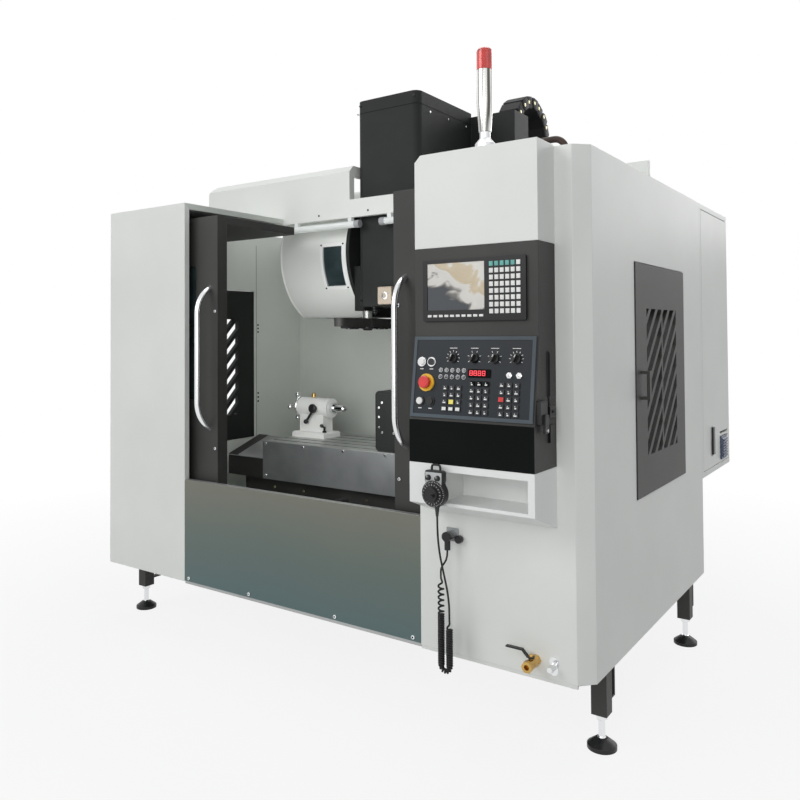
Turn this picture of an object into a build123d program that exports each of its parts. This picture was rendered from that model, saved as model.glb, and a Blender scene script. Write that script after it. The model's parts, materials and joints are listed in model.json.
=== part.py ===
"""A vertical milling machine in its sheet metal enclosure, with its doors, console and tool changer.

Millimetres. X runs along the table to the operator's right, Y to the back, Z up. The origin is on the floor,
under the middle of the machine. The doors stand open and the head is at the top of its travel.
"""

import math
import os

from build123d import *

os.makedirs("parts", exist_ok=True)

# Whole machine
machine_width = 2600
wall_top = 2105
skirt_height = 290
side_depth = 1530
left_width = 600
right_width = 665
roof_depth = 700
wall = 30
hem_height = 14
hem_setback = 4
corner_chamfer = 50
corner_radius = 32
sheet = 4
fit = 0.3
overrun = 10

# Feet and their brackets
foot_height = 120
foot_radius = 52
foot_pad_height = 14
foot_dome_height = 26
foot_neck_radius = 17
stud_radius = 12
nut_across = 36
nut_height = 18
bracket_width = 57
bracket_inset = 45
bracket_front_depth = 212
bracket_rear_inset = 187
strap_reach = 72
strap_thickness = 8
strap_drop = 30

# Bed and column
ledge_width = 800
ledge_top = 300
base_width = 730
base_top = 560
base_shoulder = 60
base_front_depth = 235
ledge_front_depth = 640
base_rear_depth = 2060
base_foot_inset = 95
rib_depth = 70
rib_gap = 60
rib_count = 4
column_depth_in = 1520
column_width = 520
column_depth = 470
column_foot_width = 600
column_foot_depth = 530
column_foot_top = 1120
column_top = 2300
column_core_width = 260
column_core_height = 500
column_core_middle = 1500
chain_shelf_top = 2000

# Rails and carriages
rail_width = 45
rail_height = 45
rail_groove = 7
bed_rail_pitch = 540
head_rail_pitch = 360
table_rail_pitch = 300
table_rail_height = 40
carriage_width = 110
carriage_length = 120
carriage_roof = 15
carriage_lift = 15
head_rail_bottom = 1180
bed_rail_start = 20
bed_rail_end = 1480

# Table, saddle and guards
table_length = 1000
table_width = 500
table_thickness = 70
table_top = 870
table_middle_depth = 945
table_shift = 312
slot_count = 5
slot_pitch = 90
slot_width = 18
slot_depth = 34
slot_head_width = 30
slot_head_height = 13
saddle_length = 1200
saddle_width = 420
saddle_guard_length = 1988
carriage_spread = 260
apron_thickness = 12
apron_height = 207
apron_drop = 2
wing_length = 281
wing_eave_drop = 97
wing_ridge_drop = 12
wing_skirt_height = 60
wing_lip_width = 70
wing_lip_height = 3

# Head and spindle
spindle_depth_in = 950
nose_height = 1570
nose_radius = 44
spindle_length = 440
taper_radius = 22
taper_depth = 65
taper_end_radius = 13
quill_housing_radius = 80
housing_drop = 20
head_bottom = 1640
head_width = 280
head_front_reach = 110
head_front_height = 400
head_height = 620
head_slope_run = 140
head_step_gap = 170
head_plate_width = 480
head_plate_thickness = 35
cover_width = 383
cover_front_depth = 750
cover_back_gap = 125
cover_bottom = 1608
cover_top = 2687
cover_radius = 40
motor_width = 190
motor_height = 400
motor_radius = 30
motor_fan_height = 40

# Cable chain of the head
chain_width = 125
chain_thickness = 70
chain_radius = 235
chain_cover_gap = 30
chain_top = 2800
chain_shift = 385
chain_start = 2330
chain_link = 60
chain_groove = 6
chain_plate_height = 340
chain_plate_back = 170

# Tool changer
drum_radius = 390
drum_middle_depth = 1155
drum_middle_height = 1905
drum_flat = 1560
drum_cover_length = 468
drum_sheet = 6
carrier_thickness = 20
carrier_tail = 180
carrier_tail_height = 420
drum_disc_radius = 310
drum_disc_thickness = 40
drum_disc_gap = 70
drum_axle_radius = 40
drum_axle_length = 150
drum_hub_radius = 75
pot_count = 24
pot_radius = 31
pot_length = 120
pot_circle_radius = 312
arm_pivot_gap = 30
arm_pivot_depth = 890
arm_width = 62
arm_thickness = 45
arm_top = 1550
arm_hub_radius = 36
grip_radius = 32
arm_shaft_radius = 26
arm_shaft_length = 205
cam_box_gap = 6
cam_box_depth = 150
cam_box_bottom = 1590
cam_box_height = 240
window_width = 130
window_height = 210
window_middle_height = 1834
window_inset = 28

# Tailstock
centre_height = 170
tail_inset = 3
tail_length = 240
tail_width = 150
tail_foot_height = 32
tail_barrel_radius = 56
tail_web_width = 84
tail_middle_depth = 1000
tail_quill_radius = 30
tail_quill_out = 22
tail_centre_radius = 20
tail_centre_length = 60
tail_tip_length = 34
tail_wheel_radius = 68
tail_rim_radius = 7
tail_wheel_hub = 18
tail_wheel_gap = 22
tail_shaft_radius = 11
tail_shaft_length = 60
tail_ball_radius = 14
tail_ball_count = 4
tail_lever_length = 100
tail_lever_radius = 7
tail_lever_hub = 15
tail_lever_slant = 52
tail_cap_thickness = 28

# Rotary table
rotary_length = 150
rotary_width = 260
rotary_height = 306
rotary_inset = 7
rotary_radius = 24
faceplate_radius = 100
faceplate_thickness = 26
faceplate_bore = 25
faceplate_slot = 14
faceplate_slot_depth = 9
faceplate_slots = 4
rotary_spigot_radius = 60
rotary_spigot_length = 12
rotary_box_length = 240
rotary_box_width = 150
rotary_plate = 6
rotary_plate_rim = 14

# Sliding doors
door_width = 730
door_thickness = 62
door_depth_in = 54
door_bottom = 740
door_top = 2035
door_roof_thickness = 40
door_roof_end = 600
left_door_show = 170
right_door_show = 153
door_skin = 20
pane_width = 430
pane_bottom = 1150
pane_height = 650
pane_thickness = 8
pane_lap = 15
handle_bottom = 1024
handle_top = 1689
handle_radius = 13
handle_reach = 76
handle_lead = 43
handle_bend_share = 0.94
handle_inset = 55
sill_depth = 128
pan_sheet = 8

# Side doors
side_door_bottom = 825
side_door_top = 1737
side_door_width = 700
right_door_depth_in = 500
left_door_depth_in = 350
side_door_gap = 3
side_door_thickness = 30
side_door_proud = 4
grille_width = 430
grille_height = 584
grille_drop = 12
grille_bar = 16
grille_slots = 10
grille_pitch = 92
grille_slot_share = 0.64
pull_height = 112
pull_reach = 34
pull_bar = 12
pull_width = 22
pull_inset = 65
pull_middle_height = 1260

# Electrical cabinet
cabinet_depth = 612
cabinet_chain_gap = 5
cabinet_bottom = 747
cabinet_wall = 26
cabinet_door_gap = 3
cabinet_door_thickness = 24
cabinet_rim = 30
mount_plate_inset = 60
mount_plate_thickness = 14
vent_width = 180
vent_height = 150
vent_margin = 16
louvre_count = 6
louvre_share = 0.5
latch_width = 34
latch_height = 140
latch_thickness = 10
latch_depth_in = 1745
latch_middle_height = 910
latch_dish = 14

# Front panel, cross panel, back wall, lamps
front_bottom = 295
front_top = 775
front_flange = 28
strip_bottom = 2073
strip_top = 2167
strip_thickness = 25
hood_top = 2350
hood_depth = 110
hood_radius = 60
hood_chamfer = 34
hood_port_inset = 42
hood_port_height = 125
hood_wall = 20
hood_gap = 12
back_thickness = 15
back_wall_inset = 45
back_slot_width = 520
lamp_radius = 18
lamp_length = 490
lamp_gap = 130
lamp_drop = 35
lamp_shift = 80
lamp_clip = 24
lamp_clip_inset = 60
lamp_cap = 30
lamp_cap_radius = 20

# Console
console_inset = 114
console_width = 480
console_top = 1770
console_reach = 180
console_bottom = 1012
header_top = 2110
header_reach = 136
header_chamfer = 25
slope_top = 1459
slope_foot = 1167
slope_reach = 176
card_slot_height = 190
card_slot_width = 14
card_slot_depth = 12
card_slot_middle = 1300
card_slot_setback = 62
clasp_height = 60
clasp_width = 26
clasp_thickness = 10
clasp_middle = 1130
clasp_setback = 60
unit_width = 400
unit_height = 216
unit_bottom = 1509
unit_thickness = 10
unit_radius = 6
screen_width = 228
screen_height = 166
screen_left_margin = 18
screen_top_margin = 12
screen_thickness = 3
soft_key_count = 10
soft_key_width = 15
soft_key_height = 8
soft_key_margin = 14
mdi_columns = 6
mdi_rows = 8
mdi_width = 121
mdi_height = 184
mdi_margin = 16
mdi_foot = 20
mdi_key_share = 0.68
key_height = 3
frame_margin = 5
frame_thickness = 8
pad_margin = 12
pad_thickness = 2
panel_key_width = 20
panel_key_height = 17
panel_key_pitch = 27
panel_row_pitch = 24
selector_radius = 17
selector_height = 9
selector_grip_height = 14
selector_grip_width = 8
selector_turn = -25
push_radius = 12
push_rim_radius = 17
push_rim_height = 4
push_height = 9
stop_radius = 22
stop_height = 16
stop_neck_radius = 11
stop_neck_height = 12
stop_collar_radius = 31
stop_collar_height = 6
stop_travel = 5
readout_width = 84
readout_height = 28
lamp_dot_radius = 6
lamp_dot_pitch = 23
toggle_nut_radius = 11
toggle_radius = 5
toggle_height = 16

# Storage shelf
shelf_bottom = 870
shelf_foot_height = 803
shelf_left_wall = 134
shelf_wall = 25
shelf_depth = 150
shelf_lip_height = 12

# Hand pendant and its cord
pendant_width = 106
pendant_height = 124
pendant_thickness = 46
pendant_bottom = 873
pendant_middle_inset = 466
pendant_radius = 12
pendant_hook_width = 40
pendant_hook_height = 22
pendant_hook_bar = 8
pendant_wheel_radius = 38
pendant_wheel_thickness = 20
pendant_wheel_height = 45
pendant_boss_radius = 20
pendant_boss = 6
crank_radius = 7
crank_length = 20
crank_offset = 26
pendant_knob_radius = 10
pendant_knob_height = 12
pendant_knob_spread = 46
pendant_knob_drop = 24
pendant_gland_radius = 8
pendant_gland_length = 16
socket_inset = 522
socket_height = 726
socket_flange = 48
socket_flange_thickness = 6
socket_radius = 18
socket_length = 52
socket_elbow_radius = 11
socket_elbow_drop = 30
cord_radius = 3.5
arc_share = 0.45
coil_radius = 13
coil_gap = 34
coil_inset = 526
coil_reach = 82
coil_top = 590
coil_turn = 275
coil_end = 440

# Signal lamp
signal_inset = 339
signal_reach = 70
signal_base_radius = 36
signal_base_height = 40
signal_neck_radius = 19
signal_neck_height = 22
signal_waist_radius = 22
signal_body_radius = 29
signal_shoulder_height = 110
signal_body_height = 110
signal_lens_radius = 28
signal_lens_height = 78
signal_dome = 14

# Drain valve and hose barb
valve_inset = 197
valve_height = 343
valve_radius = 18
valve_length = 78
valve_hex = 40
valve_hex_length = 18
valve_bore = 9
stem_radius = 7
stem_height = 14
stem_setback = 40
lever_length = 92
lever_width = 16
lever_thickness = 5
lever_rise = 20
lever_hub_radius = 12
barb_inset = 130
barb_height = 338
barb_flange_width = 30
barb_flange_height = 62
barb_flange_thickness = 6
barb_radius = 9
barb_length = 44
barb_ridge = 3
barb_ridges = 3

# Conduit on the roof
conduit_radius = 12
conduit_inset = 130
conduit_depth_in = 150
conduit_span = 190
conduit_rise = 62
conduit_bend = 45
conduit_nut_radius = 19
conduit_nut_height = 14

# Main places that follow from the sizes
front_overhang = console_reach + pendant_thickness + pendant_boss + pendant_wheel_thickness + crank_length
total_depth = front_overhang + side_depth + cabinet_depth
front_y = front_overhang - total_depth / 2
left_x = -machine_width / 2
right_x = machine_width / 2
bay_left = left_x + left_width
bay_right = right_x - right_width
work_x = (bay_left + bay_right) / 2
side_end_y = front_y + side_depth
spindle_y = front_y + spindle_depth_in
column_y = front_y + column_depth_in
console_left = right_x - console_inset - console_width
console_right = right_x - console_inset
console_y = front_y - console_reach
header_y = front_y - header_reach


def level(height):
    """A level plane at a height."""
    return Plane.XY.offset(height)


def upright(depth):
    """An upright plane at a depth, seen from the front: X to the right, Z up, thickness towards the front."""
    return Plane.XZ.offset(-depth)


def across(place):
    """An upright plane across the machine at a place along X: Y to the right, Z up, thickness to +X."""
    return Plane.YZ.offset(place)


def span(left, right, low, high, mode=Mode.ADD):
    """A rectangle between two corners, in the sketch that is being drawn."""
    with Locations(((left + right) / 2, (low + high) / 2)):
        Rectangle(right - left, high - low, mode=mode)


def rod(place, axis, radius, length, mode=Mode.ADD):
    """A round bar that starts at a place and runs along an axis, in the part that is being built."""
    with Locations(Plane(origin=place, z_dir=axis)):
        Cylinder(radius, length, align=(Align.CENTER, Align.CENTER, Align.MIN), mode=mode)


# Bed casting: a ribbed foot set back from the front, and a body with sloped shoulders inside the chip pan
base_front_y = front_y + base_front_depth
base_rear_y = front_y + base_rear_depth
base_length = base_rear_depth - base_front_depth
ledge_front_y = front_y + ledge_front_depth
ledge_length = base_rear_depth - ledge_front_depth
ledge_middle_y = (ledge_front_y + base_rear_y) / 2
rib_pitch = ledge_length / rib_count

with BuildPart() as base_casting:
    with BuildSketch(level(foot_height)):
        span(work_x - ledge_width / 2, work_x + ledge_width / 2, ledge_front_y, base_rear_y)
    extrude(amount=ledge_top - foot_height)
    with BuildSketch(upright(base_front_y)):
        Polygon(
            (work_x - base_width / 2, ledge_top),
            (work_x + base_width / 2, ledge_top),
            (work_x + base_width / 2, base_top - base_shoulder),
            (work_x + base_width / 2 - base_shoulder, base_top),
            (work_x - base_width / 2 + base_shoulder, base_top),
            (work_x - base_width / 2, base_top - base_shoulder),
            align=None,
        )
    extrude(amount=-base_length)
    for side in (-1, 1):
        with BuildSketch(across(work_x + side * ledge_width / 2)):
            with Locations((ledge_middle_y, (foot_height + ledge_top) / 2)):
                with GridLocations(rib_pitch, rib_pitch, rib_count, 1):
                    Rectangle(rib_pitch - rib_gap, ledge_top - foot_height - rib_gap)
        extrude(amount=-side * rib_depth, mode=Mode.SUBTRACT)
base_casting.part.label = "base_casting"
export_step(base_casting.part, "parts/base_casting.step")

# Levelling feet: a turned pad with its stud, and a lock nut under what it carries
corner_places = [
    (side * (right_x - bracket_inset), front_y + depth)
    for side in (-1, 1)
    for depth in (bracket_front_depth, side_depth - bracket_rear_inset)
]
bed_foot_x = ledge_width / 2 - base_foot_inset
bed_foot_pitch = ledge_length / 2 - base_foot_inset
bed_places = [
    (work_x + side * bed_foot_x, ledge_middle_y + row * bed_foot_pitch)
    for side in (-1, 1)
    for row in (-1, 0, 1)
]

with BuildPart() as one_foot:
    with BuildSketch(Plane.XZ):
        Polygon(
            (0, 0),
            (foot_radius, 0),
            (foot_radius, foot_pad_height),
            (foot_neck_radius, foot_pad_height + foot_dome_height),
            (stud_radius, foot_pad_height + foot_dome_height),
            (stud_radius, foot_height),
            (0, foot_height),
            align=None,
        )
    revolve(axis=Axis.Z)
    with BuildSketch(level(foot_height - nut_height)):
        RegularPolygon(nut_across / 2, 6, major_radius=False)
    extrude(amount=nut_height)

with BuildPart() as levelling_feet:
    with Locations(*corner_places, *bed_places):
        add(one_foot.part)
levelling_feet.part.label = "levelling_feet"
export_step(levelling_feet.part, "parts/levelling_feet.step")

# Foot brackets: a square tube with a strap loop behind it, under each corner of the enclosure
with BuildPart() as foot_brackets:
    for place_x, place_y in corner_places:
        with BuildSketch(level(foot_height)):
            with Locations((place_x, place_y)):
                Rectangle(bracket_width, bracket_width)
        extrude(amount=skirt_height - foot_height)
        strap_start = place_y + bracket_width / 2
        with BuildSketch(across(place_x - strap_drop / 2)):
            span(strap_start, strap_start + strap_reach, foot_height + strap_drop, skirt_height - strap_drop)
            span(
                strap_start,
                strap_start + strap_reach - strap_thickness,
                foot_height + strap_drop + strap_thickness,
                skirt_height - strap_drop - strap_thickness,
                mode=Mode.SUBTRACT,
            )
        extrude(amount=strap_drop)
foot_brackets.part.label = "foot_brackets"
export_step(foot_brackets.part, "parts/foot_brackets.step")

# Column casting: a flared foot, an upright box with a core window, and a shelf for the end of the cable chain
chain_left = work_x + chain_shift - chain_width / 2
chain_right = work_x + chain_shift + chain_width / 2
head_back_y = column_y - rail_height - carriage_roof - head_plate_thickness
cover_back_y = head_back_y - cover_back_gap
chain_y = cover_back_y + chain_cover_gap + chain_radius
chain_middle_height = chain_top - chain_radius

with BuildPart() as column_casting:
    with BuildSketch(level(base_top)):
        span(
            work_x - column_foot_width / 2,
            work_x + column_foot_width / 2,
            column_y,
            column_y + column_foot_depth,
        )
    with BuildSketch(level(column_foot_top)):
        span(work_x - column_width / 2, work_x + column_width / 2, column_y, column_y + column_depth)
    loft()
    with BuildSketch(level(column_foot_top)):
        span(work_x - column_width / 2, work_x + column_width / 2, column_y, column_y + column_depth)
    extrude(amount=column_top - column_foot_top)
    with BuildSketch(across(work_x - column_width)):
        with Locations((column_y + column_depth / 2, column_core_middle)):
            RectangleRounded(column_core_width, column_core_height, column_core_width / 4)
    extrude(amount=2 * column_width, mode=Mode.SUBTRACT)
    with BuildSketch(level(chain_shelf_top - wall)):
        span(
            work_x + column_width / 2,
            chain_right,
            chain_y + chain_radius - chain_thickness,
            chain_y + chain_radius,
        )
    extrude(amount=wall)
column_casting.part.label = "column_casting"
export_step(column_casting.part, "parts/column_casting.step")

# Guide rails: two along the bed and two up the column, grooved on both flanks
bed_rail_length = bed_rail_end - base_front_depth - bed_rail_start

with BuildPart() as guide_rails:
    for side in (-1, 1):
        with BuildSketch(upright(base_front_y + bed_rail_start)):
            with Locations((work_x + side * bed_rail_pitch / 2, base_top + rail_height / 2)):
                Rectangle(rail_width, rail_height)
                with GridLocations(rail_width, rail_width, 2, 1):
                    Rectangle(2 * rail_groove, rail_groove, mode=Mode.SUBTRACT)
        extrude(amount=-bed_rail_length)
        with BuildSketch(level(head_rail_bottom)):
            with Locations((work_x + side * head_rail_pitch / 2, column_y - rail_height / 2)):
                Rectangle(rail_width, rail_height)
                with GridLocations(rail_width, rail_width, 2, 1):
                    Rectangle(2 * rail_groove, rail_groove, mode=Mode.SUBTRACT)
        extrude(amount=column_top - overrun - head_rail_bottom)
guide_rails.part.label = "guide_rails"
export_step(guide_rails.part, "parts/guide_rails.step")

# Saddle: a cross slide on four carriages, with a guard sheet in front and the table's rails on top
table_x = work_x - table_shift
table_y = front_y + table_middle_depth
table_bottom = table_top - table_thickness
saddle_bottom = base_top + rail_height + carriage_roof
saddle_top = table_bottom - carriage_roof - table_rail_height

with BuildPart() as saddle:
    with BuildSketch(level(saddle_bottom)):
        with Locations((work_x, table_y)):
            Rectangle(saddle_length, saddle_width)
    extrude(amount=saddle_top - saddle_bottom)
    chamfer(saddle.edges().filter_by(Axis.Y).group_by(Axis.Z)[0], rail_width)
    with BuildSketch(level(base_top + carriage_lift)):
        with Locations((work_x, table_y)):
            with GridLocations(bed_rail_pitch, carriage_spread, 2, 2):
                Rectangle(carriage_width, carriage_length)
    extrude(amount=saddle_bottom - base_top - carriage_lift)
    with BuildSketch(upright(table_y - saddle_width / 2)):
        span(
            work_x - saddle_guard_length / 2,
            work_x + saddle_guard_length / 2,
            base_top + carriage_lift,
            saddle_top - overrun,
        )
    extrude(amount=sheet)
    with BuildSketch(level(base_top)):
        with Locations((work_x, table_y)):
            with GridLocations(bed_rail_pitch, bed_rail_pitch, 2, 1):
                Rectangle(rail_width + 2 * fit, saddle_width + 2 * overrun)
    extrude(amount=rail_height + fit, mode=Mode.SUBTRACT)
    with BuildSketch(across(work_x - saddle_length / 2)):
        with Locations((table_y, saddle_top + table_rail_height / 2)):
            with GridLocations(table_rail_pitch, table_rail_pitch, 2, 1):
                Rectangle(rail_width, table_rail_height)
    extrude(amount=saddle_length)
saddle.part.label = "saddle"
export_step(saddle.part, "parts/saddle.step")

# Table: a plate with T-slots along its length, on four carriages
table_left = table_x - table_length / 2
table_right = table_x + table_length / 2
table_front = table_y - table_width / 2
table_back = table_y + table_width / 2

with BuildPart() as table:
    with BuildSketch(across(table_left)):
        span(table_front, table_back, table_bottom, table_top)
        with Locations((table_y, table_top - slot_depth / 2)):
            with GridLocations(slot_pitch, slot_pitch, slot_count, 1):
                Rectangle(slot_width, slot_depth, mode=Mode.SUBTRACT)
        with Locations((table_y, table_top - slot_depth + slot_head_height / 2)):
            with GridLocations(slot_pitch, slot_pitch, slot_count, 1):
                Rectangle(slot_head_width, slot_head_height, mode=Mode.SUBTRACT)
    extrude(amount=table_length)
    with BuildSketch(level(saddle_top + carriage_lift)):
        with Locations((table_x, table_y)):
            with GridLocations(carriage_spread, table_rail_pitch, 2, 2):
                Rectangle(carriage_length, carriage_width)
    extrude(amount=table_bottom - saddle_top - carriage_lift)
    with BuildSketch(level(saddle_top)):
        with Locations((table_x, table_y)):
            with GridLocations(table_rail_pitch, table_rail_pitch, 1, 2):
                Rectangle(table_length, rail_width + 2 * fit)
    extrude(amount=table_rail_height + fit, mode=Mode.SUBTRACT)
table.part.label = "table"
export_step(table.part, "parts/table.step")

# Guards on the table: a front apron, and a roofed wing with skirts and a raised lip at each end
apron_top = table_top - apron_drop
apron_bottom = apron_top - apron_height
wing_eave = table_top - wing_eave_drop
wing_ridge = table_top - wing_ridge_drop
wing_foot = wing_eave - wing_skirt_height
wing_sheets = (
    (table_left - wing_length, wing_length, 0),
    (table_left - wing_length, wing_lip_width, wing_lip_height),
    (table_right, wing_length, 0),
    (table_right + wing_length - wing_lip_width, wing_lip_width, wing_lip_height),
)

with BuildPart() as table_guards:
    with BuildSketch(upright(table_front)):
        span(table_left, table_right, apron_bottom, apron_top)
    extrude(amount=apron_thickness)
    for start_x, length, lift in wing_sheets:
        with BuildSketch(across(start_x)):
            Polygon(
                (table_front - sheet, apron_bottom),
                (table_front - sheet, wing_eave + lift),
                (table_y, wing_ridge + lift),
                (table_back + sheet, wing_eave + lift),
                (table_back + sheet, wing_foot),
                (table_back, wing_foot),
                (table_back, wing_eave - sheet),
                (table_y, wing_ridge - sheet),
                (table_front, wing_eave - sheet),
                (table_front, apron_bottom),
                align=None,
            )
        extrude(amount=length)
table_guards.part.label = "table_guards"
export_step(table_guards.part, "parts/table_guards.step")

# Head casting: a nose block with the spindle housing, a sloped back, and a plate with the rails' carriages
head_front_y = spindle_y - head_front_reach
head_plate_y = head_back_y + head_plate_thickness
head_step_y = head_front_y + motor_width + head_step_gap
carriage_low = head_bottom + carriage_length
carriage_high = head_bottom + head_height - carriage_length

with BuildPart() as head_casting:
    with BuildSketch(across(work_x - head_width / 2)):
        Polygon(
            (head_front_y, head_bottom),
            (head_back_y, head_bottom),
            (head_back_y, head_bottom + head_height),
            (head_step_y, head_bottom + head_height),
            (head_step_y - head_slope_run, head_bottom + head_front_height),
            (head_front_y, head_bottom + head_front_height),
            align=None,
        )
    extrude(amount=head_width)
    with BuildSketch(level(head_bottom)):
        span(work_x - cover_width / 2 + sheet, work_x + cover_width / 2 - sheet, head_step_y, cover_back_y)
    extrude(amount=head_height)
    with BuildSketch(upright(head_back_y)):
        span(
            work_x - head_plate_width / 2,
            work_x + head_plate_width / 2,
            head_bottom,
            head_bottom + head_height,
        )
    extrude(amount=-head_plate_thickness)
    with BuildSketch(upright(head_plate_y)):
        with Locations((work_x, (carriage_low + carriage_high) / 2)):
            with GridLocations(head_rail_pitch, carriage_high - carriage_low, 2, 2):
                Rectangle(carriage_width, carriage_length)
    extrude(amount=-(column_y - head_plate_y - carriage_lift))
    with BuildSketch(level(head_bottom)):
        with Locations((work_x, column_y - rail_height / 2 - fit / 2)):
            with GridLocations(head_rail_pitch, head_rail_pitch, 2, 1):
                Rectangle(rail_width + 2 * fit, rail_height + fit)
    extrude(amount=head_height, mode=Mode.SUBTRACT)
    with BuildSketch(level(nose_height + housing_drop)):
        with Locations((work_x, spindle_y)):
            Circle(quill_housing_radius)
    extrude(amount=head_bottom - nose_height - housing_drop)
    rod(
        (work_x, spindle_y, nose_height),
        (0, 0, 1),
        nose_radius + fit,
        spindle_length + fit,
        mode=Mode.SUBTRACT,
    )
head_casting.part.label = "head_casting"
export_step(head_casting.part, "parts/head_casting.step")

# Head cover: a folded hood, rounded in front and open at the back, with the plate for the cable chain
cover_front_y = front_y + cover_front_depth
chain_front_y = chain_y - chain_radius
chain_plate_bottom = chain_start - sheet

with BuildPart() as head_cover:
    with BuildSketch(level(cover_bottom)) as cover_outline:
        span(work_x - cover_width / 2, work_x + cover_width / 2, cover_front_y, cover_back_y)
        fillet(cover_outline.vertices().group_by(Axis.Y)[0], cover_radius)
    extrude(amount=cover_top - cover_bottom)
    with BuildSketch(level(cover_bottom + sheet)) as cover_inside:
        span(
            work_x - cover_width / 2 + sheet,
            work_x + cover_width / 2 - sheet,
            cover_front_y + sheet,
            cover_back_y + overrun,
        )
        fillet(cover_inside.vertices().group_by(Axis.Y)[0], cover_radius - sheet)
    extrude(amount=cover_top - cover_bottom - 2 * sheet, mode=Mode.SUBTRACT)
    with Locations((work_x, spindle_y, cover_bottom)):
        Cylinder(quill_housing_radius + sheet, 2 * wall, mode=Mode.SUBTRACT)
    with BuildSketch(level(chain_plate_bottom)):
        span(work_x + cover_width / 2 - sheet, chain_right + 2 * sheet, cover_back_y - sheet, cover_back_y)
        span(
            chain_right + sheet,
            chain_right + 2 * sheet,
            cover_back_y - sheet,
            cover_back_y + chain_plate_back,
        )
    extrude(amount=chain_plate_height)
    with BuildSketch(level(chain_plate_bottom)):
        span(chain_left, chain_right + 2 * sheet, cover_back_y, chain_front_y + chain_thickness)
    extrude(amount=sheet)
head_cover.part.label = "head_cover"
export_step(head_cover.part, "parts/head_cover.step")

# Spindle motor: a square body with rounded corners and a fan cap, on the nose block
motor_bottom = head_bottom + head_front_height
motor_y = head_front_y + motor_width / 2

with BuildPart() as spindle_motor:
    with BuildSketch(level(motor_bottom)):
        with Locations((work_x, motor_y)):
            RectangleRounded(motor_width, motor_width, motor_radius)
    extrude(amount=motor_height)
    with BuildSketch(level(motor_bottom + motor_height)):
        with Locations((work_x, motor_y)):
            Circle(motor_width / 2 - motor_radius / 2)
    extrude(amount=motor_fan_height)
spindle_motor.part.label = "spindle_motor"
export_step(spindle_motor.part, "parts/spindle_motor.step")

# Spindle: a turned shaft with the tool taper in its nose
with BuildPart() as spindle:
    with BuildSketch(Plane.XZ.offset(-spindle_y)):
        Polygon(
            (work_x + taper_radius, nose_height),
            (work_x + nose_radius, nose_height),
            (work_x + nose_radius, nose_height + spindle_length),
            (work_x, nose_height + spindle_length),
            (work_x, nose_height + taper_depth),
            (work_x + taper_end_radius, nose_height + taper_depth),
            align=None,
        )
    revolve(axis=Axis((work_x, spindle_y, 0), (0, 0, 1)))
spindle.part.label = "spindle"
export_step(spindle.part, "parts/spindle.step")

# Cable chain: a bend over two straight legs, with a notch between its links
front_leg = chain_middle_height - chain_start
rear_leg = chain_middle_height - chain_shelf_top
bend_links = round(math.pi * chain_radius / chain_link)

with BuildPart() as drag_chain:
    with BuildSketch(across(chain_left)):
        with Locations((chain_y, chain_middle_height)):
            Circle(chain_radius)
            Circle(chain_radius - chain_thickness, mode=Mode.SUBTRACT)
        span(
            chain_y - 2 * chain_radius,
            chain_y + 2 * chain_radius,
            chain_middle_height - 2 * chain_radius,
            chain_middle_height,
            mode=Mode.SUBTRACT,
        )
        span(chain_front_y, chain_front_y + chain_thickness, chain_start, chain_middle_height)
        span(
            chain_y + chain_radius - chain_thickness,
            chain_y + chain_radius,
            chain_shelf_top,
            chain_middle_height,
        )
        for place in range(1, round(front_leg / chain_link)):
            with Locations((chain_front_y, chain_start + place * chain_link)):
                Rectangle(2 * chain_groove, chain_groove, mode=Mode.SUBTRACT)
        for place in range(1, round(rear_leg / chain_link)):
            with Locations((chain_y + chain_radius, chain_shelf_top + place * chain_link)):
                Rectangle(2 * chain_groove, chain_groove, mode=Mode.SUBTRACT)
        with Locations((chain_y, chain_middle_height)):
            with PolarLocations(chain_radius, bend_links, angular_range=180):
                Rectangle(2 * chain_groove, chain_groove, mode=Mode.SUBTRACT)
    extrude(amount=chain_width)
drag_chain.part.label = "drag_chain"
export_step(drag_chain.part, "parts/drag_chain.step")

# Tool changer carrier: a plate beside the column with the drum's axle and the cam box of the arm
carrier_right = work_x - column_width / 2
carrier_left = carrier_right - carrier_thickness
cam_box_width = (column_width - cover_width) / 2 - cam_box_gap
drum_y = front_y + drum_middle_depth
arm_x = carrier_right + arm_pivot_gap
arm_y = front_y + arm_pivot_depth

with BuildPart() as atc_frame:
    with BuildSketch(across(carrier_left)):
        with Locations((drum_y, drum_middle_height)):
            Circle(drum_radius)
        span(
            drum_y,
            column_y + carrier_tail,
            drum_middle_height - carrier_tail_height / 2,
            drum_middle_height + carrier_tail_height / 2,
        )
        span(
            drum_y - 2 * drum_radius,
            drum_y + 2 * drum_radius,
            drum_flat - drum_radius,
            drum_flat,
            mode=Mode.SUBTRACT,
        )
    extrude(amount=carrier_thickness)
    rod((carrier_left, drum_y, drum_middle_height), (-1, 0, 0), drum_axle_radius, drum_axle_length)
    with BuildSketch(level(cam_box_bottom)):
        with Locations((carrier_right + cam_box_width / 2, arm_y)):
            Rectangle(cam_box_width, cam_box_depth)
    extrude(amount=cam_box_height)
    rod(
        (arm_x, arm_y, cam_box_bottom),
        (0, 0, 1),
        arm_shaft_radius + fit,
        arm_shaft_length,
        mode=Mode.SUBTRACT,
    )
atc_frame.part.label = "atc_frame"
export_step(atc_frame.part, "parts/atc_frame.step")

# Tool drum: a disc on its hub with a ring of tool pots
disc_right = carrier_left - drum_disc_gap
disc_left = disc_right - drum_disc_thickness

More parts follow.
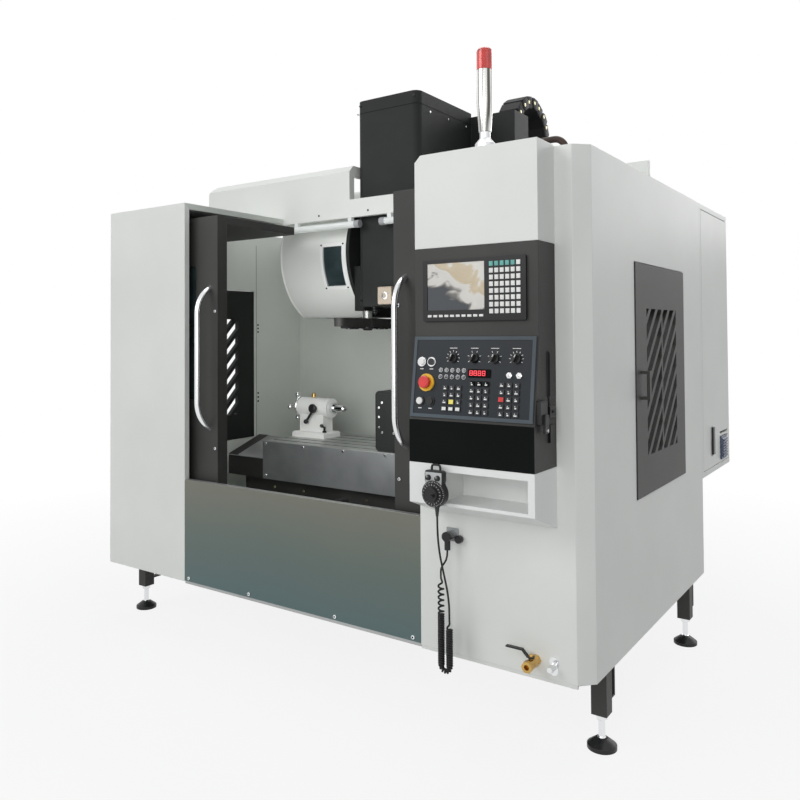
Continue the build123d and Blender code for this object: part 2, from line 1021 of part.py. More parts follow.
with BuildPart() as tool_drum:
    with BuildSketch(across(disc_left)):
        with Locations((drum_y, drum_middle_height)):
            Circle(drum_disc_radius)
    extrude(amount=drum_disc_thickness)
    rod((carrier_left - fit, drum_y, drum_middle_height), (-1, 0, 0), drum_hub_radius, drum_axle_length)
    with BuildSketch(across(disc_left)):
        with Locations((drum_y, drum_middle_height)):
            with PolarLocations(pot_circle_radius, pot_count):
                Circle(pot_radius)
    extrude(amount=-pot_length)
    rod(
        (carrier_left, drum_y, drum_middle_height),
        (-1, 0, 0),
        drum_axle_radius + fit,
        drum_cover_length,
        mode=Mode.SUBTRACT,
    )
tool_drum.part.label = "tool_drum"
export_step(tool_drum.part, "parts/tool_drum.step")

# Drum cover: a round hood cut flat below, closed at its left end, with a window in front
cover_end = carrier_left - drum_cover_length
window_right = carrier_left - window_inset
window_left = window_right - window_width

with BuildPart() as atc_cover:
    with BuildSketch(across(cover_end)):
        with Locations((drum_y, drum_middle_height)):
            Circle(drum_radius)
        span(
            drum_y - 2 * drum_radius,
            drum_y + 2 * drum_radius,
            drum_flat - drum_radius,
            drum_flat,
            mode=Mode.SUBTRACT,
        )
    extrude(amount=drum_cover_length)
    with BuildSketch(across(cover_end + drum_sheet)):
        with Locations((drum_y, drum_middle_height)):
            Circle(drum_radius - drum_sheet)
    extrude(amount=drum_cover_length, mode=Mode.SUBTRACT)
    with BuildSketch(upright(drum_y)):
        with Locations(((window_left + window_right) / 2, window_middle_height)):
            Rectangle(window_width, window_height)
    extrude(amount=drum_radius, mode=Mode.SUBTRACT)
atc_cover.part.label = "atc_cover"
export_step(atc_cover.part, "parts/atc_cover.step")

# Window of the drum cover: a curved pane behind the opening
pane_outside = drum_radius - drum_sheet - fit

with BuildPart() as atc_window:
    with BuildSketch(across(window_left - pane_lap)):
        with Locations((drum_y, drum_middle_height)):
            Circle(pane_outside)
            Circle(pane_outside - sheet, mode=Mode.SUBTRACT)
        with Locations((drum_y - drum_radius, window_middle_height)):
            Rectangle(2 * drum_radius, window_height + 2 * pane_lap, mode=Mode.INTERSECT)
    extrude(amount=window_width + 2 * pane_lap)
atc_window.part.label = "atc_window"
export_step(atc_window.part, "parts/atc_window.step")

# Arm shaft: the ram that lowers and turns the double arm, with a spigot through its hub
spigot_radius = arm_shaft_radius / 2

with BuildPart() as atc_arm_shaft:
    rod((arm_x, arm_y, arm_top + fit), (0, 0, 1), arm_shaft_radius, arm_shaft_length)
    rod((arm_x, arm_y, arm_top + fit), (0, 0, -1), spigot_radius, arm_thickness)
atc_arm_shaft.part.label = "atc_arm_shaft"
export_step(atc_arm_shaft.part, "parts/atc_arm_shaft.step")

# Double arm: a bar with an open gripper at each end, as long as the way from its pivot to the spindle
arm_reach = math.hypot(work_x - arm_x, spindle_y - arm_y)

with BuildPart() as atc_arm:
    with BuildSketch(level(arm_top - arm_thickness)):
        with Locations((arm_x, arm_y)):
            Rectangle(arm_width, 2 * arm_reach)
            Circle(arm_hub_radius)
            with GridLocations(arm_reach, 2 * arm_reach, 1, 2):
                Circle(grip_radius)
        for side in (-1, 1):
            with Locations((arm_x, arm_y + side * arm_reach)):
                Circle(taper_radius, mode=Mode.SUBTRACT)
            with Locations((arm_x + side * grip_radius, arm_y + side * arm_reach)):
                Rectangle(2 * grip_radius, 2 * taper_radius, mode=Mode.SUBTRACT)
        with Locations((arm_x, arm_y)):
            Circle(spigot_radius + fit, mode=Mode.SUBTRACT)
    extrude(amount=arm_thickness)
atc_arm.part.label = "atc_arm"
export_step(atc_arm.part, "parts/atc_arm.step")

# Tailstock body: a foot, a tapered web and a barrel with the quill's bore and an end cap
tail_left = table_left + tail_inset
tail_right = tail_left + tail_length
tail_y = front_y + tail_middle_depth
centre_z = table_top + centre_height
tail_web_foot = tail_width - 2 * tail_foot_height
tail_boss_reach = tail_barrel_radius + fit + tail_lever_radius
tail_lever_x = tail_right - tail_width / 2

with BuildPart() as tailstock_body:
    with BuildSketch(level(table_top)):
        span(tail_left, tail_right, tail_y - tail_width / 2, tail_y + tail_width / 2)
    extrude(amount=tail_foot_height)
    chamfer(tailstock_body.faces().sort_by(Axis.Z)[-1].edges(), tail_foot_height / 4)
    with BuildSketch(across(tail_left + tail_foot_height)):
        Polygon(
            (tail_y - tail_web_foot / 2, table_top + tail_foot_height),
            (tail_y + tail_web_foot / 2, table_top + tail_foot_height),
            (tail_y + tail_web_width / 2, centre_z),
            (tail_y - tail_web_width / 2, centre_z),
            align=None,
        )
    extrude(amount=tail_length - 2 * tail_foot_height)
    rod((tail_left, tail_y, centre_z), (1, 0, 0), tail_barrel_radius, tail_length)
    rod((tail_lever_x, tail_y, centre_z), (0, -1, 0), tail_lever_hub, tail_boss_reach)
    rod(
        (tail_left + tail_cap_thickness, tail_y, centre_z),
        (1, 0, 0),
        tail_quill_radius + fit,
        tail_length,
        mode=Mode.SUBTRACT,
    )
    rod((tail_left, tail_y, centre_z), (1, 0, 0), tail_shaft_radius + fit, tail_length, mode=Mode.SUBTRACT)
tailstock_body.part.label = "tailstock_body"
export_step(tailstock_body.part, "parts/tailstock_body.step")

# Quill with the live centre: a turned bar that is hollow for the screw, with a stepped point
quill_start = tail_left + tail_cap_thickness + tail_shaft_length
quill_end = tail_right + tail_quill_out

with BuildPart() as tailstock_quill:
    with BuildSketch(upright(tail_y)):
        Polygon(
            (quill_start, centre_z),
            (quill_start, centre_z + tail_quill_radius),
            (quill_end, centre_z + tail_quill_radius),
            (quill_end, centre_z + tail_centre_radius),
            (quill_end + tail_centre_length, centre_z + tail_centre_radius),
            (quill_end + tail_centre_length + tail_tip_length, centre_z),
            align=None,
        )
    revolve(axis=Axis((quill_start, tail_y, centre_z), (1, 0, 0)))
tailstock_quill.part.label = "tailstock_quill"
export_step(tailstock_quill.part, "parts/tailstock_quill.step")

# Handwheel of the tailstock: a hub with its shaft and four arms that end in balls
tail_wheel_x = tail_left - tail_wheel_gap
spoke_radius = tail_rim_radius

with BuildPart() as tailstock_wheel:
    rod(
        (tail_wheel_x - tail_wheel_hub, tail_y, centre_z),
        (1, 0, 0),
        tail_wheel_hub,
        tail_wheel_hub + tail_wheel_gap - fit,
    )
    rod((tail_wheel_x, tail_y, centre_z), (1, 0, 0), tail_shaft_radius, tail_wheel_gap + tail_shaft_length)
    with Locations(Plane(origin=(tail_wheel_x, tail_y, centre_z), z_dir=(1, 0, 0))):
        with PolarLocations(tail_wheel_radius, tail_ball_count):
            Sphere(tail_ball_radius)
        with PolarLocations(tail_wheel_radius / 2, tail_ball_count):
            Cylinder(spoke_radius, tail_wheel_radius, rotation=(0, 90, 0))
tailstock_wheel.part.label = "tailstock_wheel"
export_step(tailstock_wheel.part, "parts/tailstock_wheel.step")

# Clamp lever of the tailstock: a hub on the boss in front, and a bar with a ball
tail_lever_y = tail_y - tail_boss_reach - fit
lever_slant = math.radians(tail_lever_slant)
lever_way = (-math.cos(lever_slant), 0, -math.sin(lever_slant))
tail_lever_middle = (tail_lever_x, tail_lever_y - tail_lever_hub / 2, centre_z)
tail_lever_tip = tuple(place + tail_lever_length * way for place, way in zip(tail_lever_middle, lever_way))

with BuildPart() as tailstock_lever:
    rod((tail_lever_x, tail_lever_y, centre_z), (0, -1, 0), tail_lever_hub, tail_lever_hub)
    rod(tail_lever_middle, lever_way, tail_lever_radius, tail_lever_length)
    with Locations(Plane(origin=tail_lever_tip, z_dir=lever_way)):
        Sphere(tail_ball_radius)
tailstock_lever.part.label = "tailstock_lever"
export_step(tailstock_lever.part, "parts/tailstock_lever.step")

# Rotary table: an upright housing with a spigot, and a rounded motor box with its lid in front
rotary_right = table_right - rotary_inset
rotary_left = rotary_right - rotary_length
rotary_top = table_top + rotary_height
box_left = rotary_right - rotary_box_length
box_back = tail_y - rotary_width / 2
box_front = box_back - rotary_box_width
box_middle_x = (box_left + rotary_right) / 2

with BuildPart() as rotary_housing:
    with BuildSketch(across(rotary_left)) as rotary_side:
        span(box_back, tail_y + rotary_width / 2, table_top, rotary_top)
        fillet(rotary_side.vertices().group_by(Axis.Y)[-1].sort_by(Axis.Z)[-1], rotary_radius)
    extrude(amount=rotary_length)
    with BuildSketch(upright(box_front)):
        with Locations((box_middle_x, (table_top + rotary_top) / 2)):
            RectangleRounded(rotary_box_length, rotary_height, rotary_radius)
    extrude(amount=-rotary_box_width)
    with BuildSketch(upright(box_front)):
        with Locations((box_middle_x, (table_top + rotary_top) / 2)):
            RectangleRounded(
                rotary_box_length - 2 * rotary_plate_rim,
                rotary_height - 2 * rotary_plate_rim,
                rotary_radius - rotary_plate_rim / 2,
            )
    extrude(amount=rotary_plate)
    rod((rotary_left, tail_y, centre_z), (-1, 0, 0), rotary_spigot_radius, rotary_spigot_length)
rotary_housing.part.label = "rotary_housing"
export_step(rotary_housing.part, "parts/rotary_housing.step")

# Faceplate of the rotary table: a disc with a centre bore and crossed slots
faceplate_back = rotary_left - rotary_spigot_length - fit

with BuildPart() as rotary_faceplate:
    with BuildSketch(across(faceplate_back)):
        with Locations((tail_y, centre_z)):
            Circle(faceplate_radius)
            Circle(faceplate_bore, mode=Mode.SUBTRACT)
    extrude(amount=-faceplate_thickness)
    with BuildSketch(across(faceplate_back - faceplate_thickness)):
        with Locations((tail_y, centre_z)):
            with PolarLocations(faceplate_radius, faceplate_slots):
                Rectangle(faceplate_radius, faceplate_slot)
    extrude(amount=faceplate_slot_depth, mode=Mode.SUBTRACT)
rotary_faceplate.part.label = "rotary_faceplate"
export_step(rotary_faceplate.part, "parts/rotary_faceplate.step")

# Left cabinet: a front wall with a rounded corner, a side wall with a door opening, a roof over the pocket
with BuildPart() as left_cabinet:
    with BuildSketch(level(skirt_height)) as left_plan:
        span(left_x, bay_left, front_y, side_end_y)
        fillet(left_plan.vertices().group_by(Axis.Y)[0].sort_by(Axis.X)[0], corner_radius)
        span(left_x + wall, bay_left + overrun, front_y + wall, side_end_y + overrun, mode=Mode.SUBTRACT)
    extrude(amount=wall_top - skirt_height)
    with BuildSketch(level(wall_top - wall)):
        span(left_x + wall, bay_left, front_y + wall, front_y + roof_depth)
    extrude(amount=wall)
    with BuildSketch(across(left_x - overrun)):
        span(
            front_y + left_door_depth_in - side_door_gap,
            front_y + left_door_depth_in + side_door_width + fit,
            side_door_bottom - side_door_gap,
            side_door_top + side_door_gap,
        )
    extrude(amount=wall + 2 * overrun, mode=Mode.SUBTRACT)
left_cabinet.part.label = "left_cabinet"
export_step(left_cabinet.part, "parts/left_cabinet.step")

# Right cabinet: the same with a chamfered corner, behind the console
inner_chamfer = corner_chamfer - wall * (2 - math.sqrt(2))

with BuildPart() as right_cabinet:
    with BuildSketch(level(skirt_height)) as right_plan:
        span(bay_right, right_x, front_y, side_end_y)
        chamfer(right_plan.vertices().group_by(Axis.Y)[0].sort_by(Axis.X)[-1], corner_chamfer)
    extrude(amount=wall_top - skirt_height)
    with BuildSketch(level(skirt_height)) as right_inside:
        span(bay_right - overrun, right_x - wall, front_y + wall, side_end_y + overrun)
        chamfer(right_inside.vertices().group_by(Axis.Y)[0].sort_by(Axis.X)[-1], inner_chamfer)
    extrude(amount=wall_top - skirt_height, mode=Mode.SUBTRACT)
    with BuildSketch(level(wall_top - wall)) as right_roof:
        span(bay_right, right_x - wall, front_y + wall, front_y + roof_depth)
        chamfer(right_roof.vertices().group_by(Axis.Y)[0].sort_by(Axis.X)[-1], inner_chamfer)
    extrude(amount=wall)
    with BuildSketch(across(right_x - wall - overrun)):
        span(
            front_y + right_door_depth_in - side_door_gap,
            front_y + right_door_depth_in + side_door_width + fit,
            side_door_bottom - side_door_gap,
            side_door_top + side_door_gap,
        )
    extrude(amount=wall + 2 * overrun, mode=Mode.SUBTRACT)
    with BuildSketch(level(skirt_height - hem_height)):
        span(bay_right, right_x - corner_chamfer, front_y + hem_setback, front_y + wall / 2)
    extrude(amount=hem_height)
right_cabinet.part.label = "right_cabinet"
export_step(right_cabinet.part, "parts/right_cabinet.step")

# Front panel: a stainless sheet with its edges folded to the back
with BuildPart() as front_panel:
    with BuildSketch(across(bay_left)):
        span(front_y, front_y + front_flange, front_bottom, front_top)
        span(
            front_y + sheet,
            front_y + front_flange + overrun,
            front_bottom + sheet,
            front_top - sheet,
            mode=Mode.SUBTRACT,
        )
        span(
            front_y + hem_setback,
            front_y + hem_setback + sheet,
            front_bottom - hem_height,
            front_bottom + sheet,
        )
    extrude(amount=bay_right - bay_left)
front_panel.part.label = "front_panel"
export_step(front_panel.part, "parts/front_panel.step")

# Chip pan: a tray round the bed, with the sill that the doors run on
pan_left = left_x + wall
pan_right = right_x - wall
pan_front = front_y + wall
back_wall_y = side_end_y - back_wall_inset
pan_back = back_wall_y + back_thickness

with BuildPart() as chip_pan:
    with BuildSketch(level(ledge_top)) as pan_plan:
        span(pan_left, pan_right, pan_front, pan_back)
        chamfer(pan_plan.vertices().group_by(Axis.Y)[0].sort_by(Axis.X)[-1], inner_chamfer)
    extrude(amount=door_bottom - ledge_top)
    with BuildSketch(level(ledge_top + pan_sheet)) as pan_inside:
        span(pan_left + pan_sheet, pan_right - pan_sheet, pan_front + pan_sheet, pan_back - pan_sheet)
        chamfer(pan_inside.vertices().group_by(Axis.Y)[0].sort_by(Axis.X)[-1], inner_chamfer)
    extrude(amount=door_bottom - ledge_top, mode=Mode.SUBTRACT)
    with BuildSketch(level(door_bottom - pan_sheet)) as sill_plan:
        span(pan_left, pan_right, pan_front, front_y + sill_depth)
        chamfer(sill_plan.vertices().group_by(Axis.Y)[0].sort_by(Axis.X)[-1], inner_chamfer)
    extrude(amount=pan_sheet)
    with BuildSketch(level(ledge_top)):
        span(work_x - base_width / 2, work_x + base_width / 2, base_front_y - fit, pan_back + overrun)
    extrude(amount=door_bottom, mode=Mode.SUBTRACT)
chip_pan.part.label = "chip_pan"
export_step(chip_pan.part, "parts/chip_pan.step")

# Back wall of the work space, cut out for the head, the tool changer and the bed
head_slot_bottom = head_rail_bottom
changer_slot_left = cover_end - overrun
changer_slot_bottom = drum_flat - 2 * overrun

with BuildPart() as back_wall:
    with BuildSketch(upright(back_wall_y)):
        span(pan_left, pan_right, door_bottom, strip_bottom)
        span(
            work_x - back_slot_width / 2,
            work_x + back_slot_width / 2,
            head_slot_bottom,
            strip_bottom + overrun,
            mode=Mode.SUBTRACT,
        )
        span(changer_slot_left, work_x, changer_slot_bottom, strip_bottom + overrun, mode=Mode.SUBTRACT)
    extrude(amount=-back_thickness)
back_wall.part.label = "back_wall"
export_step(back_wall.part, "parts/back_wall.step")

# Cross panel: a strip over the doors with a bevelled hood in front of the tool drum, open at its right end
strip_y = front_y + roof_depth
hood_right = work_x - cover_width / 2 - hood_gap

with BuildPart() as cross_panel:
    with BuildSketch(across(left_x)):
        Polygon(
            (strip_y, wall_top),
            (strip_y, hood_top - hood_chamfer),
            (strip_y + hood_chamfer, hood_top),
            (strip_y + hood_depth, hood_top),
            (strip_y + hood_depth, wall_top),
            align=None,
        )
    extrude(amount=hood_right - left_x)
    hood_edges = cross_panel.edges().filter_by(Axis.Y).group_by(Axis.Z)[-1]
    fillet(hood_edges.sort_by(Axis.X)[0], hood_radius)
    with BuildSketch(upright(strip_y + strip_thickness)) as hood_inside:
        span(left_x + hood_wall, hood_right - hood_wall, wall_top - overrun, hood_top - hood_wall)
        inside_corners = hood_inside.vertices().group_by(Axis.Z)[-1].sort_by(Axis.X)
        fillet(inside_corners[0], hood_radius - hood_wall)
    extrude(amount=-hood_depth, mode=Mode.SUBTRACT)
    with BuildSketch(across(hood_right)):
        span(
            strip_y + hood_port_inset,
            strip_y + hood_depth + overrun,
            strip_top,
            strip_top + hood_port_height,
        )
    extrude(amount=-2 * hood_wall, mode=Mode.SUBTRACT)
    with BuildSketch(upright(strip_y)):
        span(left_x, right_x, wall_top, strip_top)
        span(pan_left, pan_right, strip_bottom, wall_top)
    extrude(amount=-strip_thickness)
cross_panel.part.label = "cross_panel"
export_step(cross_panel.part, "parts/cross_panel.step")

# Work lamps: two tubes with end caps, on clips under the strip
lamp_y = strip_y + strip_thickness - lamp_clip / 2
lamp_z = strip_bottom - lamp_drop
lamp_middle_x = work_x - lamp_shift
lamp_starts = (lamp_middle_x - lamp_gap / 2 - lamp_length, lamp_middle_x + lamp_gap / 2)

with BuildPart() as work_lamps:
    for start in lamp_starts:
        rod((start, lamp_y, lamp_z), (1, 0, 0), lamp_radius, lamp_length)
        rod((start, lamp_y, lamp_z), (1, 0, 0), lamp_cap_radius, lamp_cap)
        rod((start + lamp_length, lamp_y, lamp_z), (-1, 0, 0), lamp_cap_radius, lamp_cap)
        with BuildSketch(level(lamp_z)):
            with Locations(
                (start + lamp_clip_inset, lamp_y),
                (start + lamp_length - lamp_clip_inset, lamp_y),
            ):
                Rectangle(lamp_clip, lamp_clip)
        extrude(amount=lamp_drop)
work_lamps.part.label = "work_lamps"
export_step(work_lamps.part, "parts/work_lamps.step")


# Bow handles: each end is one long bend from the door's face to the upright bar
handle_slant = math.atan2(handle_reach, handle_lead)
handle_bend = handle_bend_share * math.hypot(handle_reach, handle_lead) / math.tan(handle_slant / 2)


def sliding_door(name, leading_x, side):
    """A door that bends over the work space at its top, with a window. Side is 1 for the right pocket."""
    far_x = leading_x + side * door_width
    left, right = min(leading_x, far_x), max(leading_x, far_x)
    door_y = front_y + door_depth_in
    back_y = door_y + door_thickness
    low = door_bottom + fit
    roof_low = door_top - door_roof_thickness
    middle_x = (left + right) / 2
    middle_z = pane_bottom + pane_height / 2
    with BuildPart() as door:
        with BuildSketch(across(left)):
            span(door_y, back_y, low, door_top)
            span(door_y, front_y + door_roof_end, roof_low, door_top)
        extrude(amount=right - left)
        with BuildSketch(upright(door_y + door_skin)):
            span(
                left + door_thickness,
                right - door_thickness,
                low + door_thickness,
                roof_low - door_thickness,
            )
        extrude(amount=-door_thickness, mode=Mode.SUBTRACT)
        with BuildSketch(upright(door_y)):
            with Locations((middle_x, middle_z)):
                RectangleRounded(pane_width, pane_height, pane_lap)
        extrude(amount=-door_thickness, mode=Mode.SUBTRACT)
    door.part.label = name
    export_step(door.part, f"parts/{name}.step")
    with BuildPart() as pane:
        with BuildSketch(upright(door_y + door_skin)):
            with Locations((middle_x, middle_z)):
                Rectangle(pane_width + 2 * pane_lap, pane_height + 2 * pane_lap)
        extrude(amount=-pane_thickness)
    pane.part.label = f"{name}_window"
    export_step(pane.part, f"parts/{name}_window.step")
    handle_x = leading_x + side * handle_inset
    handle_sink = handle_radius * handle_lead / handle_reach
    with BuildPart() as bow:
        with BuildLine(across(handle_x)) as bow_path:
            FilletPolyline(
                (door_y + handle_radius, handle_bottom - handle_sink),
                (door_y - handle_reach, handle_bottom + handle_lead),
                (door_y - handle_reach, handle_top - handle_lead),
                (door_y + handle_radius, handle_top + handle_sink),
                radius=handle_bend,
            )
        with BuildSketch(Plane(origin=bow_path.line @ 0, z_dir=bow_path.line % 0)):
            Circle(handle_radius)
        sweep()
        split(bisect_by=upright(door_y), keep=Keep.TOP)
    bow.part.label = f"{name}_handle"
    export_step(bow.part, f"parts/{name}_handle.step")


# Sliding doors, shown open with a little of each standing out of its pocket
sliding_door("left_door", bay_left + left_door_show, -1)
sliding_door("right_door", bay_right - right_door_show, 1)


def side_door(name, side, depth_in):
    """A slotted door in a side wall with a pull, hinged at its back edge. Side is 1 on the right."""
    near_y = front_y + depth_in
    far_y = near_y + side_door_width
    face_x = side * (right_x + side_door_proud)
    grille_y = (near_y + far_y) / 2
    grille_z = (side_door_bottom + side_door_top) / 2 - grille_drop
    column_width = (grille_width - grille_bar) / 2
    slot_rise = grille_pitch * grille_slot_share
    pull_y = near_y + pull_inset
    with BuildPart() as leaf:
        with BuildSketch(across(face_x)):
            span(near_y, far_y, side_door_bottom, side_door_top)
        extrude(amount=-side * side_door_thickness)
        with BuildSketch(across(face_x)):
            for column in (-1, 1):
                stagger = column * grille_pitch / 4
                with Locations((grille_y + column * (column_width + grille_bar) / 2, grille_z + stagger)):
                    with GridLocations(grille_pitch, grille_pitch, 1, grille_slots):
                        Polygon(
                            (-column_width / 2, -column_width / 2 - slot_rise / 2),
                            (column_width / 2, column_width / 2 - slot_rise / 2),
                            (column_width / 2, column_width / 2 + slot_rise / 2),
                            (-column_width / 2, -column_width / 2 + slot_rise / 2),
                            align=None,
                        )
            with Locations((grille_y, grille_z)):
                Rectangle(grille_width, grille_height, mode=Mode.INTERSECT)
        extrude(amount=-side * side_door_thickness, mode=Mode.SUBTRACT)
        with BuildSketch(upright(pull_y - pull_width / 2)):
            with Locations((face_x + side * pull_reach / 2, pull_middle_height)):
                Rectangle(pull_reach, pull_height)
            with Locations((face_x + side * (pull_reach - pull_bar) / 2, pull_middle_height)):
                Rectangle(pull_reach - pull_bar, pull_height - 2 * pull_bar, mode=Mode.SUBTRACT)
        extrude(amount=-pull_width)
    leaf.part.label = name
    export_step(leaf.part, f"parts/{name}.step")


# Side doors, one in each side wall
side_door("left_side_door", -1, left_door_depth_in)
side_door("right_side_door", 1, right_door_depth_in)

# Electrical cabinet: a deep case behind the right wall, open to the right, with a mounting plate inside
cabinet_left = chain_right + cabinet_chain_gap
cabinet_width = right_x - cabinet_left
cabinet_back = side_end_y + cabinet_depth
leaf_front = side_end_y + cabinet_rim
leaf_back = cabinet_back - cabinet_rim
leaf_bottom = cabinet_bottom + cabinet_rim
leaf_top = wall_top - cabinet_rim
leaf_rest = right_x - cabinet_door_thickness

with BuildPart() as electrical_cabinet:
    with BuildSketch(level(cabinet_bottom)):
        span(cabinet_left, right_x, side_end_y, cabinet_back)
    extrude(amount=wall_top - cabinet_bottom)
    with BuildSketch(across(leaf_rest - fit)):
        span(
            leaf_front - cabinet_door_gap,
            leaf_back + fit,
            leaf_bottom - cabinet_door_gap,
            leaf_top + cabinet_door_gap,
        )
    extrude(amount=cabinet_width, mode=Mode.SUBTRACT)
    with BuildSketch(across(cabinet_left + cabinet_wall)):
        span(
            leaf_front + cabinet_wall,
            leaf_back - cabinet_wall,
            leaf_bottom + cabinet_wall,
            leaf_top - cabinet_wall,
        )
    extrude(amount=cabinet_width, mode=Mode.SUBTRACT)
    with BuildSketch(across(cabinet_left + cabinet_wall)):
        span(
            leaf_front + mount_plate_inset,
            leaf_back - mount_plate_inset,
            leaf_bottom + mount_plate_inset,
            leaf_top - mount_plate_inset,
        )
    extrude(amount=mount_plate_thickness)
electrical_cabinet.part.label = "electrical_cabinet"
export_step(electrical_cabinet.part, "parts/electrical_cabinet.step")

# Cabinet door: a flat leaf with a louvred vent low at its hinge, and a finger dish under the latch
latch_y = front_y + latch_depth_in
latch_bottom = latch_middle_height - latch_height / 2
latch_top = latch_middle_height + latch_height / 2
vent_y = leaf_back - vent_margin - vent_width / 2
vent_z = leaf_bottom + vent_margin + vent_height / 2
louvre_pitch = vent_height / louvre_count

with BuildPart() as cabinet_door:
    with BuildSketch(across(leaf_rest)):
        span(leaf_front, leaf_back, leaf_bottom, leaf_top)
        with Locations((vent_y, vent_z)):
            with GridLocations(vent_width, louvre_pitch, 1, louvre_count):
                Rectangle(vent_width, louvre_pitch * louvre_share, mode=Mode.SUBTRACT)
    extrude(amount=cabinet_door_thickness)
    with BuildSketch(across(right_x)):
        with Locations((latch_y, latch_bottom + latch_height / 4)):
            Rectangle(latch_width + latch_dish, latch_height / 2 + latch_dish)
    extrude(amount=-latch_dish, mode=Mode.SUBTRACT)
cabinet_door.part.label = "cabinet_door"
export_step(cabinet_door.part, "parts/cabinet_door.step")

# Cabinet latch: a lift paddle, rounded at its pin
latch_axis_x = right_x + fit + latch_thickness / 2
latch_axis_z = latch_top - latch_thickness / 2

with BuildPart() as cabinet_latch:
    with BuildSketch(upright(latch_y + latch_width / 2)):
        span(right_x + fit, right_x + fit + latch_thickness, latch_bottom, latch_axis_z)
        with Locations((latch_axis_x, latch_axis_z)):
            Circle(latch_thickness / 2)
    extrude(amount=latch_width)
cabinet_latch.part.label = "cabinet_latch"
export_step(cabinet_latch.part, "parts/cabinet_latch.step")

# Header box over the console, with a cut corner
with BuildPart() as header_box:
    with BuildSketch(upright(header_y)) as header_face:
        span(console_left, console_right, console_top, header_top)
        chamfer(header_face.vertices().group_by(Axis.Y)[-1].sort_by(Axis.X)[0], header_chamfer)
    extrude(amount=-header_reach)
header_box.part.label = "header_box"
export_step(header_box.part, "parts/header_box.step")

# Console housing: an upright face for the display, a sloped face for the keys, a card slot and a clasp
slope_y = front_y - slope_reach

with BuildPart() as console_housing:
    with BuildSketch(across(console_left)):
        Polygon(
            (front_y, console_bottom),
            (console_y, console_bottom),
            (console_y, slope_foot - sheet),
            (slope_y, slope_foot),
            (header_y, slope_top),
            (header_y, console_top),
            (front_y, console_top),
            align=None,
        )
    extrude(amount=console_width)
    with BuildSketch(across(console_right)):
        with Locations((front_y - card_slot_setback, card_slot_middle)):
            Rectangle(card_slot_width, card_slot_height)
    extrude(amount=-card_slot_depth, mode=Mode.SUBTRACT)
    with BuildSketch(across(console_right)):
        with Locations((front_y - clasp_setback, clasp_middle)):
            Rectangle(clasp_width, clasp_height)
    extrude(amount=clasp_thickness)
console_housing.part.label = "console_housing"
export_step(console_housing.part, "parts/console_housing.step")

# Display unit: a bezel with the screen's recess, soft keys below it and a block of keys beside it
unit_x = (console_left + console_right) / 2
unit_left = unit_x - unit_width / 2
unit_right = unit_x + unit_width / 2
unit_top = unit_bottom + unit_height
unit_face = header_y - unit_thickness
screen_x = unit_left + screen_left_margin + screen_width / 2
screen_z = unit_top - screen_top_margin - screen_height / 2
soft_key_z = unit_bottom + soft_key_margin + soft_key_height / 2
soft_key_pitch = screen_width / soft_key_count
mdi_x = unit_right - mdi_margin - mdi_width / 2
mdi_z = unit_bottom + mdi_foot + mdi_height / 2
mdi_pitch_x = mdi_width / mdi_columns
mdi_pitch_z = mdi_height / mdi_rows

with BuildPart() as display_unit:
    with BuildSketch(upright(header_y)):
        with Locations((unit_x, unit_bottom + unit_height / 2)):
            RectangleRounded(unit_width, unit_height, unit_radius)
    extrude(amount=unit_thickness)
    with BuildSketch(upright(unit_face)):
        with Locations((screen_x, screen_z)):
            Rectangle(screen_width, screen_height)
    extrude(amount=-2 * screen_thickness, mode=Mode.SUBTRACT)
    with BuildSketch(upright(unit_face)):
        with Locations((screen_x, soft_key_z)):
            with GridLocations(soft_key_pitch, soft_key_pitch, soft_key_count, 1):
                Rectangle(soft_key_width, soft_key_height)
        with Locations((mdi_x, mdi_z)):
            with GridLocations(mdi_pitch_x, mdi_pitch_z, mdi_columns, mdi_rows):
                Rectangle(mdi_pitch_x * mdi_key_share, mdi_pitch_z * mdi_key_share)
    extrude(amount=key_height)
display_unit.part.label = "display_unit"
export_step(display_unit.part, "parts/display_unit.step")

# Screen, on the floor of the bezel's recess
with BuildPart() as display_screen:
    with BuildSketch(upright(unit_face + 2 * screen_thickness)):
        with Locations((screen_x, screen_z)):
            Rectangle(screen_width, screen_height)
    extrude(amount=screen_thickness)
display_screen.part.label = "display_screen"
export_step(display_screen.part, "parts/display_screen.step")

# Operator panel on the sloped face: a frame round a sunk field with keys, selectors, buttons and a collar
slope_rise = slope_top - slope_foot
slope_run = header_y - slope_y
slope_length = math.hypot(slope_rise, slope_run)
slope_plane = Plane(
    origin=(unit_x, (header_y + slope_y) / 2, (slope_top + slope_foot) / 2),
    x_dir=(1, 0, 0),
    z_dir=(0, -slope_rise, slope_run),
)
frame_width = console_width - 2 * frame_margin
frame_height = slope_length - 2 * frame_margin
pad_width = frame_width - 2 * pad_margin
pad_height = frame_height - 2 * pad_margin
field_plane = slope_plane.offset(frame_thickness - pad_thickness)
selector_row_share = 0.26
stop_row_share = -0.08
selector_shares = (-0.165, 0.022, 0.195, 0.375)
push_shares = ((-0.445, 0.2), (-0.355, 0.2), (-0.44, -0.33), (-0.345, -0.33))
stop_share = -0.39
key_blocks = ((-0.155, -0.28, 3, 4), (0.08, -0.26, 3, 5), (0.33, -0.265, 3, 5))
readout_shares = (0.075, 0.06)
lamp_dot_shares = (-0.165, 0.05)
lamp_dot_columns, lamp_dot_rows = 5, 2
toggle_shares = ((0.325, 0.045), (0.405, 0.045))
stop_place = (stop_share * pad_width, stop_row_share * pad_height)

